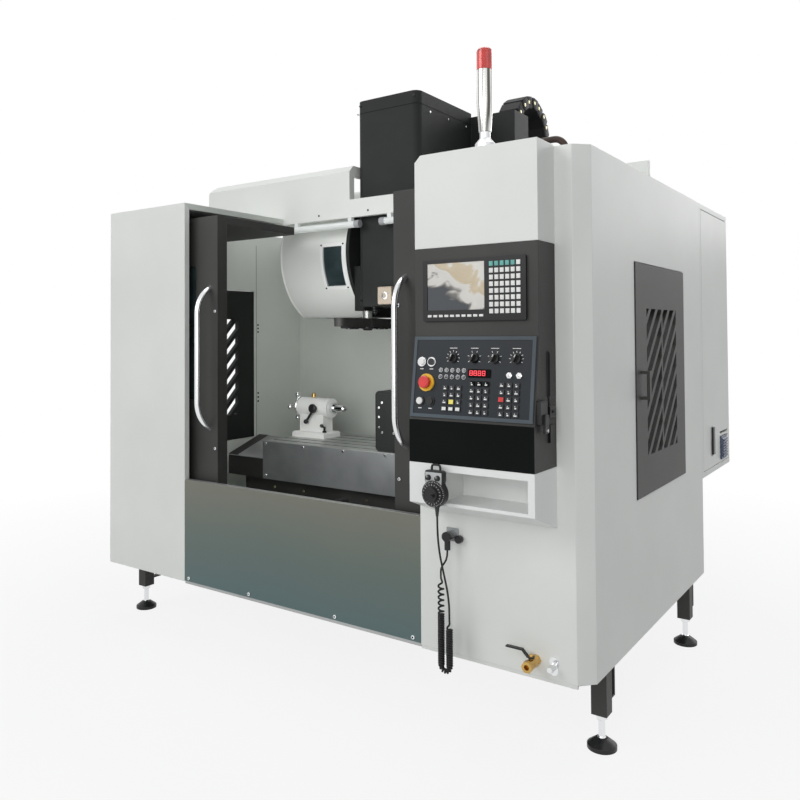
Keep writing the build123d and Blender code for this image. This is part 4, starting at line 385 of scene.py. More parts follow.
def front_steel_painted_reflection_finish():
    """Brushed sheet whose colour drifts from a warm grey at its top to a cool grey-green at its foot; the drift is a
    painted reflection.
    """
    material, tree, shader = new_material("front_steel")
    drift = spread(noise(tree, 1.6, 4), -0.09, 0.09)
    height = combine("ADD", axes(tree)["Z"], drift)
    level = spread(height, 0.0, 1.0, STEEL_FOOT, STEEL_TOP)
    colour = ramp(level, (0.0, (0.09, 0.14, 0.143)), (0.5, (0.115, 0.148, 0.133)), (1.0, (0.17, 0.172, 0.142)))
    brush = noise(tree, 800, 4, (1, 1, 0.02))
    dress(shader, colour, brush, (0.3, 0.46))
    bump(shader, brush, 0.15, 0.0003)
    set_inputs(shader, Metallic=0.45)
    return material


def screen_painted_reflection_finish():
    """Dark glass under a creased clear film; the pale and warm tones that grow towards its top right corner are a
    painted reflection.
    """
    material, tree, shader = new_material("screen_film")
    low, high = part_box("display_screen")
    place = axes(tree)
    level = spread(noise(tree, 9, 3, (1, 1, 1.6), 1.2), -0.42, 0.42)
    for source, first, last, share in ((place["X"], low.x, high.x, 0.5), (place["Z"], low.z, high.z, 0.62)):
        level = combine("ADD", level, spread(source, 0.0, share, first, last))
    colour = ramp(
        level, (0.34, (0.035, 0.042, 0.052)), (0.4, (0.2, 0.19, 0.17)), (0.47, (0.66, 0.64, 0.6)),
        (0.62, (0.7, 0.68, 0.63)), (0.68, (0.58, 0.48, 0.33)), (0.84, (0.64, 0.55, 0.4)), (0.9, (0.74, 0.72, 0.67)),
    )
    crease = noise(tree, 40, 3, (1, 1, 0.4))
    dress(shader, colour, crease, (0.08, 0.2))
    bump(shader, crease, 0.25, 0.002)
    set_inputs(shader, Coat_Weight=0.7)
    return material


def painted_reflection_sleeve_finish():
    """Bright sleeve whose upright light and dark bands are painted reflections."""
    material, tree, shader = new_material("bottle_sleeve")
    bands = noise(tree, 75, 1, (1, 1, 0.012))
    colour = ramp(bands, (0.36, (0.1, 0.095, 0.085)), (0.5, (0.6, 0.6, 0.58)), (0.6, (0.86, 0.86, 0.84)))
    dress(shader, colour, bands, (0.08, 0.18))
    set_inputs(shader, Metallic=0.75)
    return material


bottle_sleeve = painted_reflection_sleeve_finish()
front_steel = front_steel_painted_reflection_finish()
screen_film = screen_painted_reflection_finish()

# Where each node's faces take a finish of their own, by the middle and the direction of the face
PANEL_ORIGIN = Vector((0.946, -1.091, 1.313))
PANEL_RIGHT = Vector((1, 0, 0))
PANEL_UP = Vector((0, 0.13572, 0.99075))
PANEL_OUT = Vector((0, -0.99075, 0.13572))
PAD = (0.446, 0.2607)
FIELD_LIFT = 0.006
KEY_LIFT = 0.011
PAD_MARGIN = 0.001
FIELD_SKIN = 0.0004
KEY_PITCH = (0.027, 0.024)
KEY_BLOCKS = [(-0.155, -0.28, 3, 4), (0.08, -0.26, 3, 5), (0.33, -0.265, 3, 5)]
SELECTORS = [-0.165, 0.022, 0.195, 0.375]
SELECTOR_LEVEL = 0.26
DOT_BLOCK = (-0.165, 0.05, 5, 2)
DOT_PITCH = 0.023
PANEL_FEATURES = [
    (-0.39, -0.08, 0.033, "yellow"), (-0.445, 0.2, 0.013, "white"), (-0.445, 0.2, 0.019, "chrome"),
    (-0.355, 0.2, 0.013, "black"), (-0.355, 0.2, 0.019, "chrome"), (-0.44, -0.33, 0.013, "white"),
    (-0.44, -0.33, 0.019, "black"), (-0.345, -0.33, 0.019, "black"), (0.325, 0.045, 0.014, "chrome"),
    (0.405, 0.045, 0.014, "chrome"), (0.075, 0.06, 0.047, "readout"),
] + [(share, SELECTOR_LEVEL, 0.021, "black") for share in SELECTORS]
PANEL_FINISHES = {
    "frame": slate_plastic, "field": field_plastic, "key": key_plastic, "yellow": yellow_plastic,
    "white": white_plastic, "chrome": chrome, "black": black_satin, "readout": black_deep, "dot": grey_plastic,
}


def panel_finish(middle):
    """Name of the finish at a place on the operator panel."""
    away = middle - PANEL_ORIGIN
    place = (away.dot(PANEL_RIGHT), away.dot(PANEL_UP))
    if any(abs(part) >= size / 2 - PAD_MARGIN for part, size in zip(place, PAD)):
        return "frame"
    if away.dot(PANEL_OUT) < FIELD_LIFT + FIELD_SKIN:
        return "field"
    for across, up, reach, finish in PANEL_FEATURES:
        if math.hypot(place[0] - across * PAD[0], place[1] - up * PAD[1]) < reach:
            return finish
    return "dot" if place[1] > 0 else "key"


def pick_panel(middle, normal):
    return list(PANEL_FINISHES).index(panel_finish(middle))


DISPLAY_FACE = -1.0812
COLOUR_KEYS_X = (0.995, 1.11)
COLOUR_KEYS_LOW = 1.69
LAMP_ENDS = (-0.6675, -0.1775, -0.0475, 0.4425)
LAMP_CAP = 0.032
APRON_X = (-0.846, 0.157)
TRAYS_X = (-1.055, 0.366)
ANY = math.inf


def within(value, limits):
    return limits[0] < value < limits[1]


def zone(x=(-ANY, ANY), y=(-ANY, ANY), z=(-ANY, ANY), facing=None):
    """Picks the second finish for faces inside some limits, and facing one way where that is given."""
    def pick(middle, normal):
        turned = facing is None or normal.dot(Vector(facing)) > 0.5
        return turned and all(within(part, limits) for part, limits in zip(middle, (x, y, z)))
    return pick


def pick_display(middle, normal):
    """Casing, white keys and the coloured keys of the top row."""
    if middle.y > DISPLAY_FACE:
        return 0
    return 2 if within(middle.x, COLOUR_KEYS_X) and middle.z > COLOUR_KEYS_LOW else 1


def pick_lamp(middle, normal):
    return min(abs(middle.x - end) for end in LAMP_ENDS) < LAMP_CAP


def pick_guards(middle, normal):
    """Steel apron, pale roof sheets, dark skirts and lips."""
    if within(middle.x, APRON_X):
        return 0
    return 1 if normal.z > 0.3 and within(middle.x, TRAYS_X) else 2


face_finishes = {
    "operator_panel": (list(PANEL_FINISHES.values()), pick_panel),
    "display_unit": ([black_satin, white_plastic, teal_plastic], pick_display),
    # Inward-facing cabinet walls take the darker interior paint, painted shade.
    "left_cabinet": ([white_paint, wall_paint], zone(x=(-1.285, ANY), y=(-0.8, ANY), facing=RIGHT)),
    "right_cabinet": ([white_paint, wall_paint], zone(x=(-ANY, 1.285), y=(-0.8, ANY), facing=LEFT)),
    "work_lamps": ([tube_glow, grey_plastic], pick_lamp),
    "table_guards": ([apron_steel, sheet_steel, black_coat], pick_guards),
    "saddle": ([iron_paint, black_coat], zone(y=(-0.205, -0.199), z=(-ANY, 0.74))),
    "tower_lamp_post": ([zinc, bottle_sleeve], zone(z=(2.174, ANY))),
    "coolant_fittings": ([brass, chrome], zone(x=(1.137, ANY))),
    "front_panel": ([sheet_steel, front_steel], zone(z=(0.296, 0.774))),
    "levelling_feet": ([chrome, black_satin], zone(z=(-ANY, 0.0395))),
    "table": ([ground_steel, iron_paint], zone(x=(-0.842, 0.153), y=(-0.235, 0.255), z=(0.81, 0.8695))),
    "console_housing": ([black_coat, black_deep], zone(z=(-ANY, 1.16), facing=FRONT)),
    "pendant_socket": ([black_satin, grey_plastic], zone(y=(-0.968, ANY), z=(0.7, ANY))),
}
# The back wall and chip pan take the darker interior paint, painted shade.
node_finishes = {
    "back_wall": wall_paint, "chip_pan": wall_paint, "atc_cover": cover_paint, "atc_frame": head_coat,
    # The storage shelf takes the lighter paint, painted light.
    "header_box": white_paint, "storage_shelf": bright_paint, "tailstock_body": white_enamel, "guide_rails": rail_steel,
    "display_screen": screen_film, "head_cover": head_coat, "spindle_motor": head_coat, "tailstock_lever": black_satin,
    "left_side_door": head_coat, "rotary_housing": head_coat, "roof_conduit": brown_hose, "tailstock_quill": chrome,
}
slot_finishes = {
    "white_paint": white_paint, "black_paint": black_coat, "cast_iron": iron_paint, "machined_steel": ground_steel,
    "stainless": front_steel, "chrome": chrome, "brass": brass, "black_plastic": black_satin,
    "grey_plastic": grey_plastic, "red_plastic": red_plastic, "red_lens": red_lens, "screen_glass": screen_film,
    "door_glass": dark_glass, "lamp_tube": tube_glow, "cord": rubber,
}
cord.data.materials.append(rubber)

# Edge rounding of the nodes, in metres
FINE_EDGE = 0.0006
PLAIN_EDGE = 0.0014
SHEET_EDGE = 0.0024
EDGE_ANGLE = math.radians(38)
FLAT_ANGLE = math.radians(0.4)
WELD_REACH = 1e-5
fine_nodes = {
    "operator_panel", "display_unit", "coolant_fittings", "estop_button", "pendant_socket",
    "tailstock_wheel", "tool_drum", "drain_lever", "work_lamps", "cabinet_latch", "spindle", "rotary_faceplate",
    "left_side_door", "right_side_door", "table_guards", "tailstock_quill", "display_screen", "atc_window",
}
sheet_nodes = {
    "left_cabinet", "right_cabinet", "header_box", "electrical_cabinet", "console_housing", "head_cover", "cross_panel",
}


def round_edges(piece, width):
    """Small rounded edges that catch the light, with flat faces kept flat."""
    for face in piece.data.polygons:
        face.use_smooth = True
    weld = piece.modifiers.new("weld", "WELD")
    weld.merge_threshold = WELD_REACH
    flat = piece.modifiers.new("flat", "DECIMATE")
    flat.decimate_type = "DISSOLVE"
    flat.angle_limit = FLAT_ANGLE
    flat.delimit = {"MATERIAL"}
    edge = piece.modifiers.new("edge", "BEVEL")
    edge.width = width
    edge.segments = 2
    edge.limit_method = "ANGLE"
    edge.angle_limit = EDGE_ANGLE
    edge.use_clamp_overlap = True
    shade = piece.modifiers.new("shade", "WEIGHTED_NORMAL")
    shade.keep_sharp = True


for row in frame["record"]["subparts"]:
    name = row["node"]
    node = nodes[name]
    mesh = node.data
    mesh.materials.clear()
    if name in face_finishes:
        finishes, pick = face_finishes[name]
        for finish in finishes:
            mesh.materials.append(finish)
        for face in mesh.polygons:
            face.material_index = int(pick(face.center, face.normal))
    else:
        mesh.materials.append(node_finishes.get(name, slot_finishes[row["material_slot"]]))
        for face in mesh.polygons:
            face.material_index = 0
    width = FINE_EDGE if name in fine_nodes else SHEET_EDGE if name in sheet_nodes else PLAIN_EDGE
    round_edges(node, width)


# Fittings
class Shape:
    """Gathers the faces of one piece, each with the number of its finish."""

    def __init__(self):
        self.mesh = bmesh.new()

    def face(self, corners, finish):
        made = self.mesh.faces.new(corners)
        made.material_index = finish
        made.smooth = True

    def loft(self, sections, finish=0):
        """Joins closed sections one after the other and caps both ends."""
        rings = [[self.mesh.verts.new(place) for place in section] for section in sections]
        count = len(rings[0])
        for first, second in zip(rings, rings[1:]):
            for step in range(count):
                after = (step + 1) % count
                self.face((first[step], first[after], second[after], second[step]), finish)
        self.face(rings[0][::-1], finish)
        self.face(rings[-1], finish)

    def block(self, low, high, finish=0, inset=0.0):
        """A box whose top and bottom edges draw in by inset."""
        levels = [(low[2], inset), (low[2] + inset, 0), (high[2] - inset, 0), (high[2], inset)]
        sections = []
        for level, draw in levels if inset else (levels[0], levels[3]):
            left, right, near, far = low[0] + draw, high[0] - draw, low[1] + draw, high[1] - draw
            sections.append([(left, near, level), (right, near, level), (right, far, level), (left, far, level)])
        self.loft(sections, finish)

    def lathe(self, base, axis, profile, finish=0, sides=20):
        """Turns a profile of (radius, height) pairs about an axis through base."""
        axis = Vector(axis).normalized()
        across = axis.orthogonal().normalized()
        third = axis.cross(across)
        rings = []
        for radius, height in profile:
            middle = Vector(base) + axis * height
            if radius == 0:
                rings.append([self.mesh.verts.new(middle)])
                continue
            ways = [across * math.cos(turn) + third * math.sin(turn) for turn in full_turn(sides)]
            rings.append([self.mesh.verts.new(middle + way * radius) for way in ways])
        for number, (first, second) in enumerate(zip(rings, rings[1:])):
            band = finish[number] if isinstance(finish, list) else finish
            for step in range(sides):
                corners = [first[step % len(first)], first[(step + 1) % len(first)],
                           second[(step + 1) % len(second)], second[step % len(second)]]
                self.face(list(dict.fromkeys(corners)), band)

    def plate(self, middle, right, up, size, thickness, finish=0, inset=0.0):
        """A flat plate that stands out from a surface along right cross up."""
        right, up = Vector(right), Vector(up)
        out = right.cross(up)
        sections = []
        levels = [(0, 0), (thickness - inset, 0), (thickness, inset)]
        for lift, draw in levels if inset else (levels[0], levels[2]):
            half, tall = size[0] / 2 - draw, size[1] / 2 - draw
            corners = ((-half, -tall), (half, -tall), (half, tall), (-half, tall))
            sections.append([Vector(middle) + right * x + up * y + out * lift for x, y in corners])
        self.loft(sections, finish)

    def screw(self, place, axis, radius, finish=0, socket=1):
        """A cap screw with a sunk socket; the socket's finish, dark wherever it is used, is painted shade in the
        recess.
        """
        profile = [(0, 0), (1, 0), (1, 0.5), (0.82, 0.7), (0.5, 0.7), (0.45, 0.25), (0, 0.25)]
        bands = [finish, finish, finish, finish, socket, socket]
        self.lathe(place, axis, [(radius * wide, radius * tall) for wide, tall in profile], bands, sides=12)

    def done(self, name, body, finishes):
        bmesh.ops.recalc_face_normals(self.mesh, faces=self.mesh.faces)
        mesh = bpy.data.meshes.new(name)
        self.mesh.to_mesh(mesh)
        self.mesh.free()
        for finish in finishes:
            mesh.materials.append(finish)
        mesh.set_sharp_from_angle(angle=EDGE_ANGLE)
        piece = add_object(name, mesh)
        if body:
            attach(piece, body)
        return piece


def screws(name, body, axis, radius, places, finish=chrome):
    group = Shape()
    for place in places:
        group.screw(place, axis, radius)
    # The sockets take near-black, painted shade.
    group.done(name, body, [finish, black_deep])


screws("front_panel_screws", "machine", FRONT, 0.008, [(x, -0.935, 0.311) for x in (-0.6686, -0.2715, 0.2188, 0.6)])
screws("left_door_screws", "left_door", FRONT, 0.007, [(-0.545, -0.881, 1.578), (-0.545, -0.881, 0.928)])
screws("right_door_screws", "right_door", FRONT, 0.007, [(0.505, -0.881, 0.892), (0.505, -0.881, 1.578)])
screws("apron_screws", "table", FRONT, 0.0075, [
    (x, -0.252, z) for x, z in (
        (-0.82, 0.858), (-0.547, 0.858), (-0.273, 0.858), (-0.007, 0.858), (-0.82, 0.682), (0.14, 0.682), (0.14, 0.858))
])
screws("guard_screws", "saddle", FRONT, 0.006, [(x, -0.204, 0.611) for x in (-0.7975, -0.5826, -0.1555, 0.27, 0.72)],
       yellow_zinc)
screws("strip_screws", "machine", FRONT, 0.005, [(x, -0.235, 2.1) for x in (-0.763, -0.443, -0.117, 0.21)], black_satin)
screws("rotary_screws", "table", FRONT, 0.006, [
    (x, -0.221, z) for x, z in (
        (-0.0437, 1.119), (-0.0625, 1.093), (-0.0625, 1.045), (-0.0625, 0.993), (-0.0437, 0.968), (0.0257, 0.968))
])
screws("head_screws", "head", RIGHT, 0.006, [(0.159, -0.0717, 2.596), (0.159, 0.3033, 2.5997), (0.159, 0.115, 2.598)])
screws("head_front_screws", "head", FRONT, 0.006, [(x, -0.185, z) for z in (2.66, 1.64) for x in (-0.2, 0.135)],
       black_satin)

# Tool changer: framed window, rolled rims and screws on the curved cover
DRUM_AXIS = (0.22, 1.905)
DRUM_RADIUS = 0.39
WINDOW_X = (-0.4705, -0.3405)
WINDOW_Z = (1.729, 1.939)
FRAME_WIDTH = 0.02
STRIP_SINK = -0.002
STRIP_BEVEL = 0.002
STRIP_STEP = math.radians(4)


def on_drum(x, turn, lift=0.0):
    reach = DRUM_RADIUS + lift
    return Vector((x, DRUM_AXIS[0] - reach * math.cos(turn), DRUM_AXIS[1] + reach * math.sin(turn)))


def drum_strip(shape, left, right, start, end, thickness, finish=0):
    steps = max(2, int(abs(end - start) / STRIP_STEP))
    shoulder = thickness * 0.6
    outline = ((left, STRIP_SINK), (right, STRIP_SINK), (right, shoulder), (right - STRIP_BEVEL, thickness),
               (left + STRIP_BEVEL, thickness), (left, shoulder))
    sections = []
    for step in range(steps + 1):
        turn = start + (end - start) * step / steps
        sections.append([on_drum(x, turn, lift) for x, lift in outline])
    shape.loft(sections, finish)


low_turn = math.asin((WINDOW_Z[0] - DRUM_AXIS[1]) / DRUM_RADIUS)
high_turn = math.asin((WINDOW_Z[1] - DRUM_AXIS[1]) / DRUM_RADIUS)
frame_turn = FRAME_WIDTH / DRUM_RADIUS
surround = Shape()
for left, right in ((WINDOW_X[0] - FRAME_WIDTH, WINDOW_X[0]), (WINDOW_X[1], WINDOW_X[1] + FRAME_WIDTH)):
    drum_strip(surround, left, right, low_turn - frame_turn, high_turn + frame_turn, 0.005)
for start, end in ((low_turn - frame_turn, low_turn), (high_turn, high_turn + frame_turn)):
    drum_strip(surround, WINDOW_X[0] + 0.0005, WINDOW_X[1] - 0.0005, start, end, 0.0048)
for x in (WINDOW_X[0] - FRAME_WIDTH / 2, WINDOW_X[1] + FRAME_WIDTH / 2):
    for turn in (low_turn - frame_turn / 2, high_turn + frame_turn / 2):
        out = (0, -math.cos(turn), math.sin(turn))
        surround.screw(on_drum(x, turn, 0.0045), out, 0.005, 1, 1)
surround.done("changer_window_frame", "machine", [bright_paint, black_deep])
rims = Shape()
for left, right in ((-0.7805, -0.7725), (-0.3205, -0.3125)):
    drum_strip(rims, left, right, math.radians(-60), math.radians(16), 0.004)
rims.done("changer_cover_rims", "machine", [bright_paint])


# Operator panel: key faces, lamp dots, dial ticks, pointers and readout digits
def on_panel(across, up, lift):
    return PANEL_ORIGIN + PANEL_RIGHT * across + PANEL_UP * up + PANEL_OUT * lift


def grid(block, pitch):
    """Middles of a block of keys in metres on the panel, with each key's column and row counted from the top left."""
    share_across, share_up, columns, rows = block
    for column in range(columns):
        for row in range(rows):
            across = share_across * PAD[0] + (column - (columns - 1) / 2) * pitch[0]
            up = share_up * PAD[1] - (row - (rows - 1) / 2) * pitch[1]
            yield across, up, column, row


# Block, column and row of the yellow and the red key, with the number of its finish
COLOUR_KEYS = {(0, 1, 2): 1, (2, 0, 2): 2}
DIGIT_FINISH = 3
marks = Shape()


def mark(place, size, thickness=0.0004, finish=0, inset=0.0):
    marks.plate(place, PANEL_RIGHT, PANEL_UP, size, thickness, finish, inset)


for number, block in enumerate(KEY_BLOCKS):
    for across, up, column, row in grid(block, KEY_PITCH):
        place = on_panel(across, up, KEY_LIFT)
        special = COLOUR_KEYS.get((number, column, row))
        if special:
            mark(place, (0.018, 0.015), 0.0006, special, 0.0003)
        elif number == 0 and row == block[3] - 1:
            mark(place, (0.016, 0.011), 0.0006, 0, 0.0003)
        else:
            wide = (0.009, 0.006, 0.011)[(column + row + number) % 3]
            mark(place - PANEL_UP * 0.003, (wide, 0.0045), 0.0005)
            mark(place + PANEL_UP * 0.003 - PANEL_RIGHT * 0.002, (0.003, 0.003), 0.0005)
for across, up, column, row in grid(DOT_BLOCK, (DOT_PITCH, DOT_PITCH)):
    marks.lathe(on_panel(across, up, FIELD_LIFT), PANEL_OUT,
                [(0.0085, 0), (0.0085, 0.0008), (0.0068, 0.0008), (0.0066, 0)], 0, sides=6)
SELECTOR_SWEEP = math.radians(240)
SELECTOR_LEAN = math.radians(25)
SELECTOR_FACE = 0.029
SELECTOR_TICKS = (9, 6, 6, 9)
for share, ticks in zip(SELECTORS, SELECTOR_TICKS):
    middle = (share * PAD[0], SELECTOR_LEVEL * PAD[1])
    for tick in range(ticks):
        beside, ray = dial_ways(SELECTOR_SWEEP * (tick / (ticks - 1) - 0.5), PANEL_RIGHT, PANEL_UP)
        marks.plate(on_panel(*middle, FIELD_LIFT) + ray * 0.0235, beside, ray, (0.0018, 0.006), 0.0005)
    beside, ray = dial_ways(SELECTOR_LEAN, PANEL_RIGHT, PANEL_UP)
    marks.plate(on_panel(*middle, SELECTOR_FACE) + ray * 0.008, beside, ray, (0.0024, 0.01), 0.0004)
    mark(on_panel(middle[0], middle[1] + 0.034, FIELD_LIFT), (0.03, 0.002))
for across, up in ((-0.445, 0.2), (-0.355, 0.2), (-0.44, -0.33), (-0.345, -0.33)):
    mark(on_panel(across * PAD[0], up * PAD[1] - 0.025, FIELD_LIFT), (0.014, 0.003))
READOUT = on_panel(0.075 * PAD[0], 0.06 * PAD[1], FIELD_LIFT)
READOUT_LIFT = 0.0105
for digit in range(4):
    middle = READOUT + PANEL_RIGHT * (-0.027 + 0.016 * digit) + PANEL_OUT * READOUT_LIFT
    for level in (-0.0075, 0, 0.0075):
        mark(middle + PANEL_UP * level, (0.009, 0.0022), finish=DIGIT_FINISH)
    for side in (-0.005, 0.005):
        mark(middle + PANEL_RIGHT * side, (0.0022, 0.017), finish=DIGIT_FINISH)
marks.done("panel_marks", "machine", [white_plastic, lemon_plastic, red_plastic, red_digits])

# Console side: grip slot, latch and keeper
console = Shape()


def stadium(x, y, low, high, half, lift):
    places = []
    for middle, start in ((high, 0), (low, 180)):
        for step in range(9):
            turn = math.radians(start + step * 22.5)
            places.append((x + lift, y + half * math.cos(turn), middle + half * math.sin(turn)))
    return places


CONSOLE_SIDE = 1.186
SLOT = (-1.001, 1.261, 1.394)
SLOT_RIM = ((0.0125, -0.001), (0.0125, 0.0015), (0.0105, 0.003))
# A near-black plate on the rim's face, painted shade standing in for the depth of the grip slot.
SLOT_PAINTED_SHADE = ((0.0082, 0.0028), (0.0078, 0.0034))
for finish, rings in ((1, SLOT_RIM), (0, SLOT_PAINTED_SHADE)):
    console.loft([stadium(CONSOLE_SIDE, *SLOT, half, lift) for half, lift in rings], finish)
# Latch body, its tongue and the keeper: how deep each starts and ends, and its span along y and z
LATCH_PARTS = [
    (-0.001, 0.016, (-1.098, -1.045), (1.166, 1.245)),
    (0.015, 0.024, (-1.08, -1.05), (1.138, 1.2)),
    (-0.001, 0.014, (-1.02, -0.974), (1.185, 1.223)),
]
for start, end, (near, far), (low, high) in LATCH_PARTS:
    console.block((CONSOLE_SIDE + start, near, low), (CONSOLE_SIDE + end, far, high), 2, 0.003)
console.screw((CONSOLE_SIDE + 0.014, -0.997, 1.204), RIGHT, 0.006, 2, 0)
console.screw((CONSOLE_SIDE + 0.024, -1.064, 1.148), RIGHT, 0.005, 3, 0)
console.done("console_latch", "machine", [black_deep, head_coat, black_satin, chrome])

# Left wall inside: a seam and two rows of plugged holes
wall = Shape()
WALL_FACE = -1.27
PLUG = [(0, 0), (0.0062, 0), (0.0062, 0.0012), (0.0045, 0.002), (0, 0.0016)]
for height in (1.527, 1.505, 1.483, 1.0955, 1.07, 1.0448):
    wall.lathe((WALL_FACE, 0.147, height), RIGHT, PLUG, sides=16)
wall.block((WALL_FACE - 0.001, 0.131, 0.62), (WALL_FACE + 0.0012, 0.1335, 2.03), 1)
wall.done("wall_plugs", "machine", [black_deep, iron_paint])

# Head: beige block over the spindle nose, coolant nozzles and the seam of the top cover
nose = Shape()
nose.block((-0.0745, -0.212, 1.616), (0.0095, -0.184, 1.706), 0, 0.004)
# The nose ring's bore wall and floor are near-black, painted shade in the hole.
NOSE_RING = [(0.019, -0.001), (0.019, 0.002), (0.016, 0.003), (0.012, 0.003), (0.0115, -0.006), (0, -0.006)]
nose.lathe((-0.0325, -0.212, 1.66), FRONT, NOSE_RING, [1, 1, 1, 2, 2])
BEAD_PITCH = 0.012
for x in (-0.14, 0.07):
    beads = [(0.012, 0.0)]
    for bead in range(3):
        start = BEAD_PITCH * bead
        beads += [(0.013, start + 0.004), (0.013, start + 0.009), (0.009, start + 0.0115)]
    nose.lathe((x, -0.15, 1.61), (0, 0.15, -1), beads + [(0.005, 0.046), (0, 0.046)], 3, sides=16)
for low, high in (((0.1585, -0.18, 2.62), (0.1598, 0.36, 2.6218)), ((-0.2248, -0.18, 2.62), (-0.2235, 0.36, 2.6218)),
                  ((-0.222, -0.1858, 2.62), (0.157, -0.1845, 2.6218))):
    nose.block(low, high, 2)
nose.done("spindle_block", "head", [beige_plastic, zinc, black_deep, black_satin])

# Tailstock: oil cup on its back, and a small clamp lever at its foot
TAIL_AXIS = (0.065, 1.04)
tail = Shape()
tail_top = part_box("tailstock_body")[1].z
OIL_CUP = [(0.009, 0), (0.009, 0.01), (0.013, 0.011), (0.013, 0.02), (0.01, 0.022), (0.01, 0.028), (0.007, 0.033),
           (0, 0.034)]
tail.lathe((-0.737, TAIL_AXIS[0], tail_top - 0.006), UP, OIL_CUP, sides=18)
TAIL_STUD = Vector((-0.6215, 0.02, 0.9015))
STUD = [(0.0115, 0), (0.0115, 0.009), (0.0095, 0.011), (0.006, 0.0115), (0.006, 0.034), (0, 0.036)]
GRIP = [(0, 0), (0.0045, 0.001), (0.0045, 0.045), (0.009, 0.05), (0.0105, 0.06), (0.008, 0.069), (0, 0.072)]
GRIP_WAY = (0.3, -0.85, 0.3)
tail.lathe(TAIL_STUD, UP, STUD, 1, sides=6)
tail.lathe(TAIL_STUD + Vector((0, 0.006, 0.026)), GRIP_WAY, GRIP, 1, sides=16)
tail.done("tailstock_fittings", "table", [brass, black_satin])

wheel = Shape()
wheel_low, wheel_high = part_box("tailstock_wheel")
wheel_x = (wheel_low.x + wheel_high.x) / 2
RING_RADIUS = 0.054
RING_TUBE = 0.008
ring = [(RING_RADIUS + RING_TUBE * math.cos(turn), RING_TUBE * math.sin(turn)) for turn in full_turn(10)]
wheel.lathe((wheel_x, *TAIL_AXIS), LEFT, ring + ring[:1], sides=32)
WHEEL_HUB = [(0, 0), (0.02, 0), (0.022, 0.006), (0.022, 0.018), (0.016, 0.026), (0.006, 0.029), (0, 0.029)]
wheel.lathe((wheel_x + 0.012, *TAIL_AXIS), LEFT, WHEEL_HUB)
wheel.done("tailstock_wheel_ring", "tailstock_wheel", [chrome])
hub = Shape()
lever_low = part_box("tailstock_lever")[0]
LEVER_CAP = [(0, 0), (0.025, 0), (0.027, 0.004), (0.026, 0.012), (0.02, 0.017), (0, 0.018)]
hub.lathe((-0.6765, lever_low.y + 0.006, TAIL_AXIS[1]), FRONT, LEVER_CAP, sides=28)
hub.done("tailstock_lever_cap", "tailstock_lever", [black_satin])

# Bright front edges of the table's side trays
edges = Shape()
for left, right in ((-1.1235, -0.846), (0.157, 0.4345)):
    edges.block((left, -0.2462, 0.769), (right, -0.2405, 0.7745), 0, 0.001)
edges.done("wing_edges", "table", [sheet_steel])

# Tool change arm: hub cover, gripper fingers and bolts
arm = Shape()
ARM_MIDDLE = Vector((-0.2625, -0.045, 1.505))
ARM_HUB = [(0.033, 0), (0.033, 0.01), (0.027, 0.014), (0.024, 0.02), (0.012, 0.022), (0, 0.022)]
arm.lathe(ARM_MIDDLE + Vector((0, 0, 0.001)), DOWN, ARM_HUB, sides=24)
for side in (-1, 1):
    for reach, wide, drop in ((0.085, 0.026, 0.01), (0.135, 0.031, 0.014), (0.185, 0.028, 0.01)):
        spot = ARM_MIDDLE + Vector((0, side * reach, 0))
        half = Vector((wide, 0.016, 0))
        arm.block(spot - half - Vector((0, 0, drop)), spot + half + Vector((0, 0, 0.002)), 0, 0.003)
        for across in (-0.014, 0.014):
            arm.screw((spot.x + across, spot.y, spot.z - drop + 0.0005), DOWN, 0.0055, 1, 2)
    for level in (1.516, 1.538):
        arm.screw((ARM_MIDDLE.x - 0.031, ARM_MIDDLE.y + side * 0.15, level), LEFT, 0.005, 1, 2)
arm.done("arm_fittings", "arm", [black_satin, zinc, black_deep])

# Electrical cabinet: louvred vent on its door
vent = Shape()
vent.block((1.298, 0.985, 0.79), (1.308, 1.105, 0.91), 0, 0.002)
for step in range(7):
    height = 0.806 + 0.0145 * step
    vent.loft([[(1.307, y, height), (1.315, y, height - 0.003), (1.315, y, height + 0.003), (1.307, y, height + 0.009)]
               for y in (0.995, 1.095)], 0)
vent.done("cabinet_vent", "cabinet_door", [vent_blue])

# Socket's screws and hanging cap, hose tail's screws, and the marked ring round the handwheel
UNIT = Vector((0.834, -1.161, 0.918))


def scale_marks(shape, middle, count, long_mark, short_mark, width, finish):
    """Marks round a dial that faces the front, each fifth one long, by their (radius, length)."""
    for number, turn in enumerate(full_turn(count)):
        beside, ray = dial_ways(turn, RIGHT, UP)
        radius, length = short_mark if number % 5 else long_mark
        shape.plate(middle + ray * radius, beside, ray, (width, length), 0.0004, finish)


small = Shape()
for x in (0.758, 0.798):
    for z in (0.706, 0.746):
        small.screw((x, -0.9385, z), FRONT, 0.0032, 0, 1)
SOCKET_CAP = [(0, 0), (0.006, 0), (0.006, 0.008), (0.014, 0.01), (0.014, 0.026), (0.011, 0.029), (0, 0.029)]
small.lathe((0.812, -0.934, 0.715), FRONT, SOCKET_CAP, 1)
for z in (0.315, 0.361):
    small.screw((1.17, -0.9375, z), FRONT, 0.0035, 0, 1)
UNIT_RING = [(0.0385, 0), (0.0455, 0), (0.0455, 0.003), (0.0445, 0.004), (0.0388, 0.004), (0.0385, 0)]
small.lathe(UNIT + Vector((0, 0.0005, 0)), FRONT, UNIT_RING, 1, sides=40)
scale_marks(small, UNIT - Vector((0, 0.0034, 0)), 40, (0.04155, 0.0055), (0.04055, 0.0035), 0.0014, 2)
small.done("small_fittings", "machine", [chrome, black_satin, white_plastic])

# Handwheel unit: a waisted case with a round lower end, pale face plate, two knobs, hanging loop and ribbed sleeve
UNIT_ROUND = 0.0465
UNIT_HALF = 0.037
UNIT_RISE = 0.079
UNIT_WAIST = 0.036
UNIT_HEART = 0.017
UNIT_ARC = (math.radians(142), math.radians(256))
ARC_STEPS = 24
FACE_STEPS = 12


